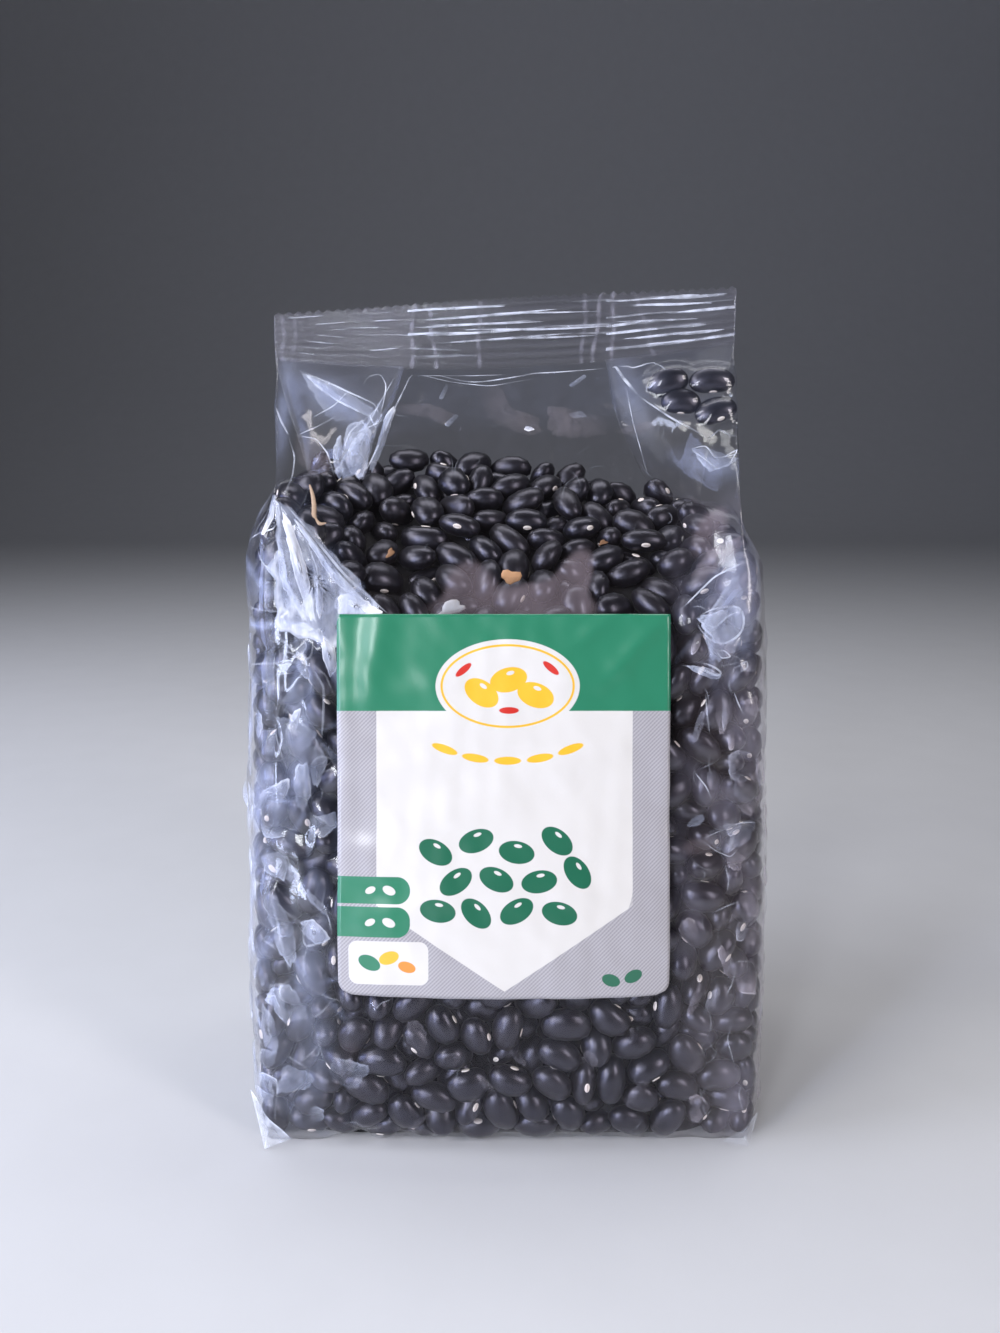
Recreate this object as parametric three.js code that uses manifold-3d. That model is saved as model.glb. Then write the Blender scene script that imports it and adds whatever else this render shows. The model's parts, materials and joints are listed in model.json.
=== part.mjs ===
// A clear side-gusset bag filled with dried beans, standing on its flat base, with a stuck-on label.
// Units are millimetres, +Z is up and the front panel faces -Y.
// The bag is one closed solid out to its film: bulging body, gable with both gussets tucked in, and
// the crimped seal with its zigzag cut. The label is a thin curved sheet just off the front panel.
import * as THREE from "three";
import { mergeVertices } from "three/addons/utils/BufferGeometryUtils.js";
import Module from "manifold-3d";

const wasm = await Module();
wasm.setup();

// Driving dimensions
const sealHalfWidth = 54.2; // half the flat width of the film
const sealCentre = -0.8;
const sealThickness = 1.3; // four layers of film with the air between them
const sealBottom = { left: 181.1, middle: 179.4, right: 184.8 }; // heights of the seal's lower line
const sealTop = { left: 191.5, middle: 194.9, right: 197.5 }; // heights of the cut edge
const crimpCount = 6;
const crimpRelief = 0.45;
const toothPitch = 2.3;
const toothDepth = 0.8;
const sealWave = 1.2; // how far the seal wanders forwards and backwards along its length

const beanLength = 10.2;
const beanWidth = 6.6;
const beanRelief = 1.4; // how far a bean pushes the film out
const beanSeed = 20417;
const baseFlat = 1.5; // no beans show in the film below this height
const frontFold = 123; // where the front film leaves the beans
const backFold = 157; // where the back film leaves them
const sideFold = 138; // where the side film leaves them
const fade = 4; // over this distance the beans come up in the film

const labelHalfWidth = 37.1;
const labelCentre = -1.1;
const labelLow = 40.4;
const labelHigh = 124.2;
const labelCorner = 3; // radius of the two lower corners
const labelThickness = 0.25;
const labelGap = 0.35;
const labelMargin = 5; // the film is smooth this far round the label

// The bag's section at a few heights: x of the four corner creases, x of the middle of each side, and
// y of the creases and of the middle of the front and the back. Between them a smooth curve runs.
const levels = [
  { z: 0, creaseX: 55.8, sideX: 60, frontCrease: -37.3, front: -37.6, backCrease: 30.2, back: 31.2 },
  { z: 6, creaseX: 55.8, sideX: 62.8, frontCrease: -38.7, front: -42.5, backCrease: 32.1, back: 34.5 },
  { z: 19, creaseX: 54.3, sideX: 63.8, frontCrease: -38.7, front: -45.2, backCrease: 33.1, back: 36.4 },
  { z: 41, creaseX: 53.2, sideX: 64.1, frontCrease: -37.8, front: -44.1, backCrease: 33.1, back: 36.9 },
  { z: 83, creaseX: 52.4, sideX: 63.3, frontCrease: -31.7, front: -35.2, backCrease: 32.1, back: 35.9 },
  { z: 124, creaseX: 52, sideX: 61.9, frontCrease: -26.5, front: -26.6, backCrease: 30.7, back: 34 },
  { z: 138, creaseX: 52, sideX: 60.5, frontCrease: -24.1, front: -20.8, backCrease: 29.8, back: 33.5 },
  { z: 147, creaseX: 52.2, sideX: 56.7, frontCrease: -21.3, front: -16.8, backCrease: 27.9, back: 33.1 },
  { z: 154, creaseX: 52.7, sideX: 36, frontCrease: -16.5, front: -13.6, backCrease: 24.5, back: 31.7 },
  { z: 162.5, creaseX: 53.3, sideX: 30.7, frontCrease: -11, front: -10.2, backCrease: 17.5, back: 25.5 },
  { z: 172, creaseX: 53.9, sideX: 26.9, frontCrease: -4.7, front: -6, backCrease: 7.6, back: 11.3 },
  { z: 180.5, creaseX: 54.2, sideX: 24, frontCrease: -0.65, front: -0.65, backCrease: 0.65, back: 0.65 },
];
const gableTop = levels[levels.length - 1].z;
const tuckStart = 136; // below this height the sides are round, above it they fold inwards
const tuckEnd = 150;
const shoulderTilt = 4; // the beans stand this much higher at the left side, lower at the right
const tiltReach = { from: 83, full: tuckStart, fades: 162.5, to: gableTop }; // heights of the tilt
const sideRoundness = 0.45; // 1 is a sine, lower is boxier
const frontFlatness = 2.6; // 2 is a parabola, higher is flatter in the middle of the panel

// How finely each stretch is cut
const frontCuts = 24;
const sideCuts = 18;
const ringCounts = [2, 3, 4, 8, 8, 3, 2, 2, 2, 2, 2]; // rings between each level and the next
const sealCuts = 18;
const labelCuts = { across: 14, up: 14, corner: 4 }; // corner: the rows that round the lower corners

const filmMaterial = new THREE.MeshStandardMaterial({
  color: 0x17171c,
  roughness: 0.28,
  metalness: 0,
});
const labelMaterial = new THREE.MeshStandardMaterial({
  color: 0xe9ebe8,
  roughness: 0.42,
  metalness: 0,
});

const clamp01 = (value) => Math.min(1, Math.max(0, value));
const smooth = (from, to, value) => {
  const t = clamp01((value - from) / (to - from));
  return t * t * (3 - 2 * t);
};

// The section's named measure at height z, by a cubic through the levels that never overshoots.
function measure(name, z) {
  const last = levels.length - 1;
  let i = 0;
  while (i < last - 1 && z > levels[i + 1].z) i += 1;
  const slopeBetween = (a) => {
    if (a < 0 || a >= last) return null;
    return (levels[a + 1][name] - levels[a][name]) / (levels[a + 1].z - levels[a].z);
  };
  const slopeAt = (a) => {
    const before = slopeBetween(a - 1) ?? slopeBetween(a);
    const after = slopeBetween(a) ?? slopeBetween(a - 1);
    if (before * after <= 0) return 0;
    return (2 * before * after) / (before + after);
  };
  const step = levels[i + 1].z - levels[i].z;
  const t = clamp01((z - levels[i].z) / step);
  const t2 = t * t;
  const t3 = t2 * t;
  return (
    (2 * t3 - 3 * t2 + 1) * levels[i][name] +
    (t3 - 2 * t2 + t) * step * slopeAt(i) +
    (3 * t2 - 2 * t3) * levels[i + 1][name] +
    (t3 - t2) * step * slopeAt(i + 1)
  );
}

// A value that is given at the left end, in the middle and at the right end, by a parabola. u runs
// from 0 to 1 along the seal.
const alongSeal = ({ left, middle, right }, u) => {
  const t = 2 * u - 1;
  return middle + ((right - left) / 2) * t + ((left + right) / 2 - middle) * t * t;
};

// The gable stretches up to the seal's slanting lower line: how far a point of it moves up.
function gableLift(x, z) {
  const u = clamp01(((x - sealCentre) / sealHalfWidth + 1) / 2);
  return (alongSeal(sealBottom, u) - gableTop) * smooth(tuckStart, gableTop, z);
}

// The seal sits a little left of the body's middle, and the gable leans over to it.
const sealShift = (z) => sealCentre * smooth(tuckStart, gableTop, z);

// A panel bulges most in its middle: 0 at both creases and 1 across the flat middle.
const panelBulge = (s) => 1 - Math.abs(2 * s - 1) ** frontFlatness;

// The height that the side's measures are taken at, so that one shoulder stands above the other.
// turn is 1 on the right side and -1 on the left.
function shoulderHeight(turn, z) {
  const { from, full, fades, to } = tiltReach;
  return z + turn * shoulderTilt * smooth(from, full, z) * (1 - smooth(fades, to, z));
}

// A point of the smooth film at height z. side is "front", "right", "back" or "left", and s runs
// from 0 to 1 along it, anticlockwise seen from above.
function filmPoint(side, s, z) {
  const creaseX = measure("creaseX", z);
  const frontCrease = measure("frontCrease", z);
  const backCrease = measure("backCrease", z);
  if (side === "front" || side === "back") {
    const turn = side === "front" ? 1 : -1;
    const crease = side === "front" ? frontCrease : backCrease;
    const middle = measure(side, z);
    const x = turn * creaseX * (2 * s - 1) + sealShift(z);
    return new THREE.Vector3(x, crease + (middle - crease) * panelBulge(s), z + gableLift(x, z));
  }
  const turn = side === "right" ? 1 : -1;
  const along = side === "right" ? s : 1 - s;
  const fromShoulder = shoulderHeight(turn, z);
  const tuck = smooth(tuckStart, tuckEnd, fromShoulder);
  const round = Math.sin(Math.PI * along) ** sideRoundness;
  const folded = 1 - Math.abs(2 * along - 1);
  const reach = round + (folded - round) * tuck;
  const x = turn * (creaseX + (measure("sideX", fromShoulder) - creaseX) * reach) + sealShift(z);
  const y = frontCrease + (backCrease - frontCrease) * along;
  return new THREE.Vector3(x, y, z + gableLift(x, z));
}

// A small repeatable random number generator, 0 to 1.
function randomSource(seed) {
  let state = seed;
  return () => {
    state = (state * 1664525 + 1013904223) % 4294967296;
    return state / 4294967296;
  };
}

// Beans that press on the film, on an uneven brick lattice round the bag: each has a place along the
// ring, a height and a lie.
function pressedBeans(ringLength, top) {
  const random = randomSource(beanSeed);
  const beans = [];
  const columnPitch = beanLength * 0.88;
  const rowPitch = beanWidth * 0.95;
  const columns = Math.round(ringLength / columnPitch);
  for (let row = 0; row * rowPitch < top; row += 1) {
    for (let column = 0; column < columns; column += 1) {
      beans.push({
        along: (column + 0.5 * (row % 2) + 0.5 * (random() - 0.5)) * (ringLength / columns),
        z: (row + 0.5 + 0.5 * (random() - 0.5)) * rowPitch,
        lie: (random() - 0.5) * 1.9,
        push: 0.55 + 0.45 * random(),
      });
    }
  }
  return beans;
}

// How far the film stands out at a place: the dome of the bean that pushes it furthest.
function beanBump(beans, ringLength, along, z) {
  let furthest = 0;
  for (const bean of beans) {
    let dx = along - bean.along;
    dx -= Math.round(dx / ringLength) * ringLength;
    const dz = z - bean.z;
    if (Math.abs(dx) > beanLength || Math.abs(dz) > beanLength) continue;
    const major = (dx * Math.cos(bean.lie) + dz * Math.sin(bean.lie)) / (beanLength / 2);
    const minor = (dz * Math.cos(bean.lie) - dx * Math.sin(bean.lie)) / (beanWidth / 2);
    const inside = 1 - major * major - minor * minor;
    if (inside > 0) furthest = Math.max(furthest, bean.push * Math.sqrt(inside));
  }
  return furthest;
}

// 1 where the film lies on the beans and 0 where it is clear of them, flat under the label or near
// the base.
function beanContact(side, point) {
  const fold = { front: frontFold, back: backFold, left: sideFold, right: sideFold }[side];
  const low = smooth(baseFlat, baseFlat + fade, point.z);
  const high = 1 - smooth(fold - fade, fold + fade, point.z);
  if (side !== "front") return low * high;
  const fromLabel = Math.abs(point.x - labelCentre) - labelHalfWidth;
  const besideLabel = smooth(labelMargin, labelMargin + fade, fromLabel);
  const belowLabel = smooth(labelMargin, labelMargin + fade, labelLow - point.z);
  return low * high * Math.max(besideLabel, belowLabel);
}

// One closed solid from rings of points stacked upwards, closed by a fan at each end.
function stackRings(rings) {
  const count = rings[0].length;
  const positions = [];
  const faces = [];
  for (const point of rings.flat()) positions.push(point.x, point.y, point.z);
  for (let level = 0; level + 1 < rings.length; level += 1) {
    for (let i = 0; i < count; i += 1) {
      const a = level * count + i;
      const b = level * count + ((i + 1) % count);
      faces.push(a, b, b + count, a, b + count, a + count);
    }
  }
  for (const level of [0, rings.length - 1]) {
    const middle = positions.length / 3;
    positions.push(0, 0, rings[level][0].z);
    for (let i = 0; i < count; i += 1) {
      const edge = [level * count + i, level * count + ((i + 1) % count)];
      if (level === 0) edge.reverse();
      faces.push(middle, ...edge);
    }
  }
  return indexed(positions, faces);
}

function indexed(positions, faces) {
  const geometry = new THREE.BufferGeometry();
  geometry.setAttribute("position", new THREE.Float32BufferAttribute(positions, 3));
  geometry.setIndex(faces);
  return geometry;
}

// A closed sheet between two faces, each a function of across and up from 0 to 1, with a rim.
function closedSheet(nearFace, farFace, across, up) {
  const positions = [];
  const faces = [];
  const row = across + 1;
  const faceSize = row * (up + 1);
  for (const face of [nearFace, farFace]) {
    for (let j = 0; j <= up; j += 1) {
      for (let i = 0; i <= across; i += 1) {
        const point = face(i / across, j / up);
        positions.push(point.x, point.y, point.z);
      }
    }
  }
  for (let j = 0; j < up; j += 1) {
    for (let i = 0; i < across; i += 1) {
      const a = j * row + i;
      faces.push(a, a + 1, a + 1 + row, a, a + 1 + row, a + row);
      const b = a + faceSize;
      faces.push(b, b + 1 + row, b + 1, b, b + row, b + 1 + row);
    }
  }
  const rim = [];
  for (let i = 0; i < across; i += 1) rim.push(i);
  for (let j = 0; j < up; j += 1) rim.push(across + j * row);
  for (let i = across; i > 0; i -= 1) rim.push(up * row + i);
  for (let j = up; j > 0; j -= 1) rim.push(j * row);
  rim.forEach((a, k) => {
    const b = rim[(k + 1) % rim.length];
    faces.push(b, a, a + faceSize, b, a + faceSize, b + faceSize);
  });
  return indexed(positions, faces);
}

function toSolid(geometry) {
  const bare = geometry.index ? geometry.toNonIndexed() : geometry.clone();
  bare.deleteAttribute("normal");
  bare.deleteAttribute("uv");
  const merged = mergeVertices(bare, 1e-3);
  return new wasm.Manifold(
    new wasm.Mesh({
      numProp: 3,
      vertProperties: merged.attributes.position.array,
      triVerts: new Uint32Array(merged.index.array),
    }),
  );
}

function toGeometry(solid) {
  const mesh = solid.getMesh();
  return indexed(Array.from(mesh.vertProperties), Array.from(mesh.triVerts));
}

// Body and gable: rings of film points, with the beans pressed out where the film lies on them.
function bodySolid() {
  const heights = [levels[0].z];
  ringCounts.forEach((count, i) => {
    for (let k = 1; k <= count; k += 1) {
      heights.push(levels[i].z + ((levels[i + 1].z - levels[i].z) * k) / count);
    }
  });
  const places = [];
  const sides = { front: frontCuts, right: sideCuts, back: frontCuts, left: sideCuts };
  for (const [side, cuts] of Object.entries(sides)) {
    for (let i = 0; i < cuts; i += 1) places.push({ side, s: i / cuts });
  }
  const bellyRing = places.map(({ side, s }) => filmPoint(side, s, labelLow));
  const along = [0];
  bellyRing.forEach((point, i) => {
    along.push(along[i] + point.distanceTo(bellyRing[(i + 1) % bellyRing.length]));
  });
  const ringLength = along[bellyRing.length];
  const beans = pressedBeans(ringLength, backFold + beanWidth);
  const panelTurn = 0.15; // how much of the sideways part of a bean's push is kept
  const rings = heights.map((z) =>
    places.map(({ side, s }, i) => {
      const point = filmPoint(side, s, z);
      const contact = beanContact(side, point);
      if (contact === 0) return point;
      const push = beanRelief * contact * beanBump(beans, ringLength, along[i], z);
      const outwards = new THREE.Vector3(point.x / sealHalfWidth, point.y / sealHalfWidth, 0);
      outwards[side === "front" || side === "back" ? "x" : "y"] *= panelTurn;
      return point.addScaledVector(outwards.normalize(), push);
    }),
  );
  return toSolid(stackRings(rings));
}

const sealBend = (u) => sealWave * Math.sin(2 * Math.PI * u) * Math.sin(Math.PI * u);

// The crimped band: horizontal ridges on both faces, from just inside the gable to the cut edge.
function sealSolid() {
  const rows = crimpCount * 2;
  const inset = 2; // how far the band reaches down into the gable
  const face = (turn) => (u, w) => {
    const low = alongSeal(sealBottom, u) - inset;
    const high = alongSeal(sealTop, u) - toothDepth;
    const ridge = Math.round(w * rows) % 2 === 1 ? crimpRelief : 0;
    return new THREE.Vector3(
      sealCentre + sealHalfWidth * (2 * u - 1),
      sealBend(u) * w + turn * (sealThickness / 2 + ridge),
      low + (high - low) * w,
    );
  };
  return toSolid(closedSheet(face(-1), face(1), sealCuts, rows));
}

// The zigzag cut: one triangular tooth after another along the top edge.
function teethSolid() {
  const teeth = Math.round((2 * sealHalfWidth) / toothPitch);
  const sunk = 0.8; // how far the teeth reach down into the band
  const face = (turn) => (u, w) => {
    const tip = Math.round(u * teeth * 2) % 2 === 1 ? toothDepth : 0;
    const edge = alongSeal(sealTop, u) - toothDepth;
    return new THREE.Vector3(
      sealCentre + (sealHalfWidth - 0.01) * (2 * u - 1),
      sealBend(u) + turn * (sealThickness / 2 - 0.05),
      w === 0 ? edge - sunk : edge + tip,
    );
  };
  return toSolid(closedSheet(face(-1), face(1), teeth * 2, 1));
}

function makeBag() {
  const solid = bodySolid().add(sealSolid()).add(teethSolid());
  const mesh = new THREE.Mesh(toGeometry(solid), filmMaterial);
  mesh.name = "bag";
  return mesh;
}

// The label follows the front panel a little in front of it, and its lower corners are round.
function makeLabel() {
  const face = (offset) => (u, w) => {
    const cornerShare = labelCuts.corner / labelCuts.up;
    const above =
      w < cornerShare
        ? labelCorner * (1 - Math.cos((Math.PI / 2) * (w / cornerShare)))
        : labelCorner + ((w - cornerShare) / (1 - cornerShare)) * (labelHigh - labelLow - labelCorner);
    const z = labelLow + above;
    const inFromEdge = labelCorner - Math.sqrt(labelCorner ** 2 - Math.max(0, labelCorner - above) ** 2);
    const x = labelCentre + (labelHalfWidth - inFromEdge) * (2 * u - 1);
    const creaseX = measure("creaseX", z);
    const point = filmPoint("front", (x / creaseX + 1) / 2, z);
    point.y -= offset;
    return point;
  };
  const outer = face(labelGap + labelThickness);
  const geometry = closedSheet(outer, face(labelGap), labelCuts.across, labelCuts.up);
  const mesh = new THREE.Mesh(toGeometry(toSolid(geometry)), labelMaterial);
  mesh.name = "label";
  return mesh;
}

const group = new THREE.Group();
group.add(makeBag(), makeLabel());

// The origin is the middle of the whole bag's box, on the surface that it stands on.
const box = new THREE.Box3().setFromObject(group);
group.position.set(-(box.min.x + box.max.x) / 2, -(box.min.y + box.max.y) / 2, -box.min.z);

export default group;
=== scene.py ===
import json
import math
import time

import bpy
import numpy as np
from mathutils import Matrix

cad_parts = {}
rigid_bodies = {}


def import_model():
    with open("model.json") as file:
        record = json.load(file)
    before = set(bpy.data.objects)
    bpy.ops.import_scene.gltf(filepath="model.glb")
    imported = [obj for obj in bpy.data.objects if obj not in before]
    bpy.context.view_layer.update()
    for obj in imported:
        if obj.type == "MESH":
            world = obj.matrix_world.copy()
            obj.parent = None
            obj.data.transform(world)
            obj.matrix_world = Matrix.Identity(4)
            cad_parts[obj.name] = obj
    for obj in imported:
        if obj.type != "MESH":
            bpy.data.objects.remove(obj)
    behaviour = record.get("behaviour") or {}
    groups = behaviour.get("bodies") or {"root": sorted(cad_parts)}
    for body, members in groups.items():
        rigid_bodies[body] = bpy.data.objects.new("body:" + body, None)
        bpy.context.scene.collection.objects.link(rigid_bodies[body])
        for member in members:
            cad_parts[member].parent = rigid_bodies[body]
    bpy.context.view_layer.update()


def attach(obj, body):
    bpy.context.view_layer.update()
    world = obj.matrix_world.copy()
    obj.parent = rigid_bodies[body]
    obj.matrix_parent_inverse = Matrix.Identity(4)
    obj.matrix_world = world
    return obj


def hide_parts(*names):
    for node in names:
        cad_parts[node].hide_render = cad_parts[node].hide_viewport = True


for obj in list(bpy.data.objects):  # an empty scene
    bpy.data.objects.remove(obj)
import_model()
startTime = time.time()


def report(words):
    print("stage: %s (%.1f s)" % (words, time.time() - startTime))


# The camera stands where the photo was taken: in front, a little above, looking down.
camera = {
    "place": (-1.9, -254.0, 161.5),  # mm
    "pitchDown": 12.0,  # degrees
    "focal": 1050.0 / 1333.0,  # focal length as a share of the picture's height
}


# Focal length and turn of the camera from the values above.
def makeCamera(spec):
    data = bpy.data.cameras.new("camera")
    data.sensor_fit = "VERTICAL"
    data.sensor_height = 24.0
    data.lens = 24.0 * spec["focal"]
    data.clip_start = 0.01
    obj = bpy.data.objects.new("camera", data)
    obj.location = [v * 0.001 for v in spec["place"]]
    obj.rotation_euler = (math.radians(90.0 - spec["pitchDown"]), 0.0, 0.0)
    bpy.context.scene.collection.objects.link(obj)
    bpy.context.scene.camera = obj


makeCamera(camera)
report("camera")

# The bag's section at a few heights, in mm: x of the corner creases and of the middle of a side,
# y of the creases and of the middle of the front and the back.
bag = {
    "height": [0, 6, 19, 41, 83, 124, 138, 147, 154, 162.5, 172, 180.5],
    "creaseX": [55.8, 55.8, 54.3, 53.2, 52.4, 52, 52, 52.2, 52.7, 53.3, 53.9, 54.2],
    "sideX": [60, 62.8, 63.8, 64.1, 63.3, 61.9, 60.5, 56.7, 36, 30.7, 26.9, 24],
    "frontCrease": [-33.3, -34.7, -34.7, -33.8, -27.7, -22.5, -20.1, -17.3, -12.5, -7, -0.7, 3.35],
    "front": [-33.6, -38.5, -41.2, -40.1, -31.2, -22.6, -16.8, -12.8, -9.6, -6.2, -2, 3.35],
    "backCrease": [34.2, 36.1, 37.1, 37.1, 36.1, 34.7, 33.8, 31.9, 28.5, 21.5, 11.6, 4.65],
    "back": [35.2, 38.5, 40.4, 40.9, 39.9, 38, 37.5, 37.1, 35.7, 29.5, 15.3, 4.65],
    "tuck": (136.0, 150.0),  # the sides are round below and folded inwards above
    "tilt": 4.0,  # the left shoulder stands this much higher, the right one lower
    "sideRoundness": 0.45,
    "frontFlatness": 2.6,
    "floorGap": 0.3,  # between the beans and the ground
}
seal = {
    "halfWidth": 54.2,
    "centre": -0.8,
    "y": 4.0,
    "bottom": (181.1, 179.4, 184.8),  # left end, middle, right end
    "top": (191.5, 194.9, 197.5),
    "wave": 1.2,
}
gableTop = bag["height"][-1]


def smooth(low, high, value):
    t = np.clip((value - low) / (high - low), 0.0, 1.0)
    return t * t * (3.0 - 2.0 * t)


# A named measure of the section at heights z: a cubic through the levels that never overshoots.
def measure(name, z):
    knots = np.array(bag["height"], float)
    values = np.array(bag[name], float)
    step = np.diff(knots)
    slope = np.diff(values) / step
    before = np.concatenate([slope[:1], slope])
    after = np.concatenate([slope, slope[-1:]])
    product = before * after
    tangent = np.where(product > 0, 2 * product / np.where(product > 0, before + after, 1), 0.0)
    z = np.asarray(z, float)
    i = np.clip(np.searchsorted(knots, z, side="right") - 1, 0, len(step) - 1)
    t = np.clip((z - knots[i]) / step[i], 0.0, 1.0)
    t2, t3 = t * t, t * t * t
    return ((2 * t3 - 3 * t2 + 1) * values[i] + (t3 - 2 * t2 + t) * step[i] * tangent[i]
            + (3 * t2 - 2 * t3) * values[i + 1] + (t3 - t2) * step[i] * tangent[i + 1])


# A value given at the left end, the middle and the right end of the seal, by a parabola in u.
def alongSeal(ends, u):
    t = 2 * u - 1
    left, middle, right = ends
    return middle + (right - left) / 2 * t + ((left + right) / 2 - middle) * t * t


# How much higher than its level the gable stands at x, because the seal's foot isn't level.
def gableLift(x, z):
    u = np.clip(((x - seal["centre"]) / seal["halfWidth"] + 1) / 2, 0, 1)
    return (alongSeal(seal["bottom"], u) - gableTop) * smooth(bag["tuck"][0], gableTop, z)


# How far the middle plane of the bag has moved over to the seal's at height z.
def sealShift(z):
    return seal["centre"] * smooth(bag["tuck"][0], gableTop, z)


# Front or back panel: y at x and z, the crease's y with a flat-topped bulge added between creases.
def panelY(name, x, z):
    crease = measure(name + "Crease", z)
    s = np.clip(np.abs((x - sealShift(z)) / measure("creaseX", z)), 0, 1)
    return crease + (measure(name, z) - crease) * (1 - s ** bag["frontFlatness"])


# Side panel: distance from the middle plane at y and z. Round in the body, a tent folded inwards
# in the gable. turn is 1 on the right and -1 on the left.
def sideReach(turn, y, z):
    front, back = measure("frontCrease", z), measure("backCrease", z)
    along = np.clip((y - front) / (back - front), 0, 1)
    tilted = z + turn * bag["tilt"] * smooth(83, bag["tuck"][0], z) * (1 - smooth(162.5, gableTop, z))
    tuck = smooth(bag["tuck"][0], bag["tuck"][1], tilted)
    rounded = np.sin(np.pi * along) ** bag["sideRoundness"]
    folded = 1 - np.abs(2 * along - 1)
    reach = rounded + (folded - rounded) * tuck
    creaseX = measure("creaseX", z)
    return creaseX + (measure("sideX", tilted) - creaseX) * reach


# The heap of beans: a front edge that dips in the middle and a back edge that falls to the right,
# with an almost straight slope between them.
heap = {
    "frontLow": 124.0, "frontY": -22.0, "backY": 36.0,
    "leftRise": (-26.0, 1.04), "rightRise": (38.0, 0.75),  # x where the front edge starts to rise, slope
    "backTop": 168.0, "backPeak": -12.0, "backLeft": 0.13, "backRight": 0.24,
}


# Height of the heap: between its front and back edges by the depth to the power 0.9.
def heapHeight(x, y):
    front = (heap["frontLow"] + heap["leftRise"][1] * np.maximum(0, heap["leftRise"][0] - x)
             + heap["rightRise"][1] * np.maximum(0, x - heap["rightRise"][0]))
    off = x - heap["backPeak"]
    back = heap["backTop"] - np.where(off < 0, heap["backLeft"] * -off, heap["backRight"] * off)
    t = np.clip((y - heap["frontY"]) / (heap["backY"] - heap["frontY"]), 0, 1)
    return front + (back - front) * t ** 0.9


# Beans: settled by a relaxation that treats each one as an ellipsoid. Two of them touch where their
# centres are sqrt(2 / (u.(A+B)^-1.u)) apart, u being the line of centres and A, B their forms.
beans = {
    "half": (5.35, 3.88, 3.12),  # half length, width and thickness in mm
    "spread": (0.08, 0.07, 0.06),
    "lying": (0.65, 0.4, 0.0),  # how far length and width turn along the nearest wall or the slope
    "fill": 0.725,  # share of the space that beans take
    "steps": 170,
    "lattice": ((-64, 65), (-46, 44), (2.5, 165)),  # mm: the box that beans start in
    "jitter": 0.35,  # how far a bean starts off its lattice place, as a share of the pitch
    "startGap": (1.2, 0.6),  # mm that its centre starts inside the walls and under the heap's surface
    "surfaceSlack": (-3.2, 0.8),  # mm that single beans may stand under or over the heap's surface
    "lieDown": 0.55,  # a settled bean lies more than it stands
    "neighbourReach": 1.12, "neighbourSteps": 6,  # how far neighbours are sought, and how often
    "push": 0.55, "wallPush": 0.9, "twist": 0.6,  # shares of an overlap mended in each step
    "spin": 6.0,  # how hard a bean is to turn, in mm squared
    "filmGap": 0.25,  # mm
    "sink": 0.012,  # mm that each bean sinks in each step
    "seed": 417,
    "keepDepth": 9.5,  # beans deeper than this under the film or the heap can't be seen
    "segments": 10,
    "bands": 6,
}
slopeStep = 0.5  # mm, over which a wall's slope is measured


# A wall as each place's distance past it and its outward direction.
def wallFrom(past, normal):
    size = np.linalg.norm(normal, axis=1)
    return past / size, normal / size[:, None]


# A surface's value at two coordinates, and its slopes from its values a small step away.
def slopes(surface, a, b):
    here = surface(a, b)
    across, along = surface(a + slopeStep, b) - here, surface(a, b + slopeStep) - here
    return here, across / slopeStep, along / slopeStep


# The front, the back, both sides and the ground, as walls that keep the beans in.
def insideWalls(centre):
    x, y, z = centre.T
    walls = []
    for name, turn in (("front", -1.0), ("back", 1.0)):
        here, gx, gz = slopes(lambda a, b: panelY(name, a, b), x, z)
        outward = np.stack([-turn * gx, np.full_like(gx, turn), -turn * gz], 1)
        walls.append(wallFrom(turn * (y - here), outward))
    for turn in (1.0, -1.0):
        here, gy, gz = slopes(lambda a, b: sideReach(turn, a, b), y, z)
        outward = np.stack([np.full_like(gy, turn), -gy, -gz], 1)
        walls.append(wallFrom(turn * (x - sealShift(z)) - here, outward))
    walls.append((bag["floorGap"] - z, np.tile([0.0, 0.0, -1.0], (len(z), 1))))
    return walls


# The heap's surface as one more wall, raised by slack.
def heapWall(centre, slack):
    x, y, z = centre.T
    here, gx, gy = slopes(heapHeight, x, y)
    return wallFrom(z - here - slack, np.stack([-gx, -gy, np.ones_like(gx)], 1))


# A number for each place's cube of side reach, and what it takes to step to the cubes round it.
def cubeKeys(places, reach):
    cell = np.floor((places - places.min(0)) / reach).astype(np.int64) + 1
    dims = cell.max(0) + 2
    turns = (-1, 0, 1)
    steps = [(i * dims[1] + j) * dims[2] + k for i in turns for j in turns for k in turns]
    return (cell[:, 0] * dims[1] + cell[:, 1]) * dims[2] + cell[:, 2], steps


# Pairs of a wanted cube and each entry of the sorted list that lies in it.
def inCubes(wanted, sortedKey):
    low = np.searchsorted(sortedKey, wanted, side="left")
    counts = np.searchsorted(sortedKey, wanted, side="right") - low
    start = np.repeat(low - np.concatenate([[0], np.cumsum(counts)[:-1]]), counts)
    return np.repeat(np.arange(len(wanted)), counts), start + np.arange(counts.sum())


# Neighbour pairs nearer than reach, by sorting the centres into cubes of that size. Half of the cubes
# round each one are enough.
def nearPairs(centre, reach):
    key, steps = cubeKeys(centre, reach)
    order = np.argsort(key, kind="stable")
    sortedKey = key[order]
    firsts, seconds = [], []
    for step in steps[len(steps) // 2:]:
        a, b = inCubes(sortedKey + step, sortedKey)
        if step == 0:
            a, b = a[b > a], b[b > a]
        firsts.append(order[a])
        seconds.append(order[b])
    a, b = np.concatenate(firsts), np.concatenate(seconds)
    close = np.einsum("ij,ij->i", centre[b] - centre[a], centre[b] - centre[a]) < reach * reach
    return a[close], b[close]


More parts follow.
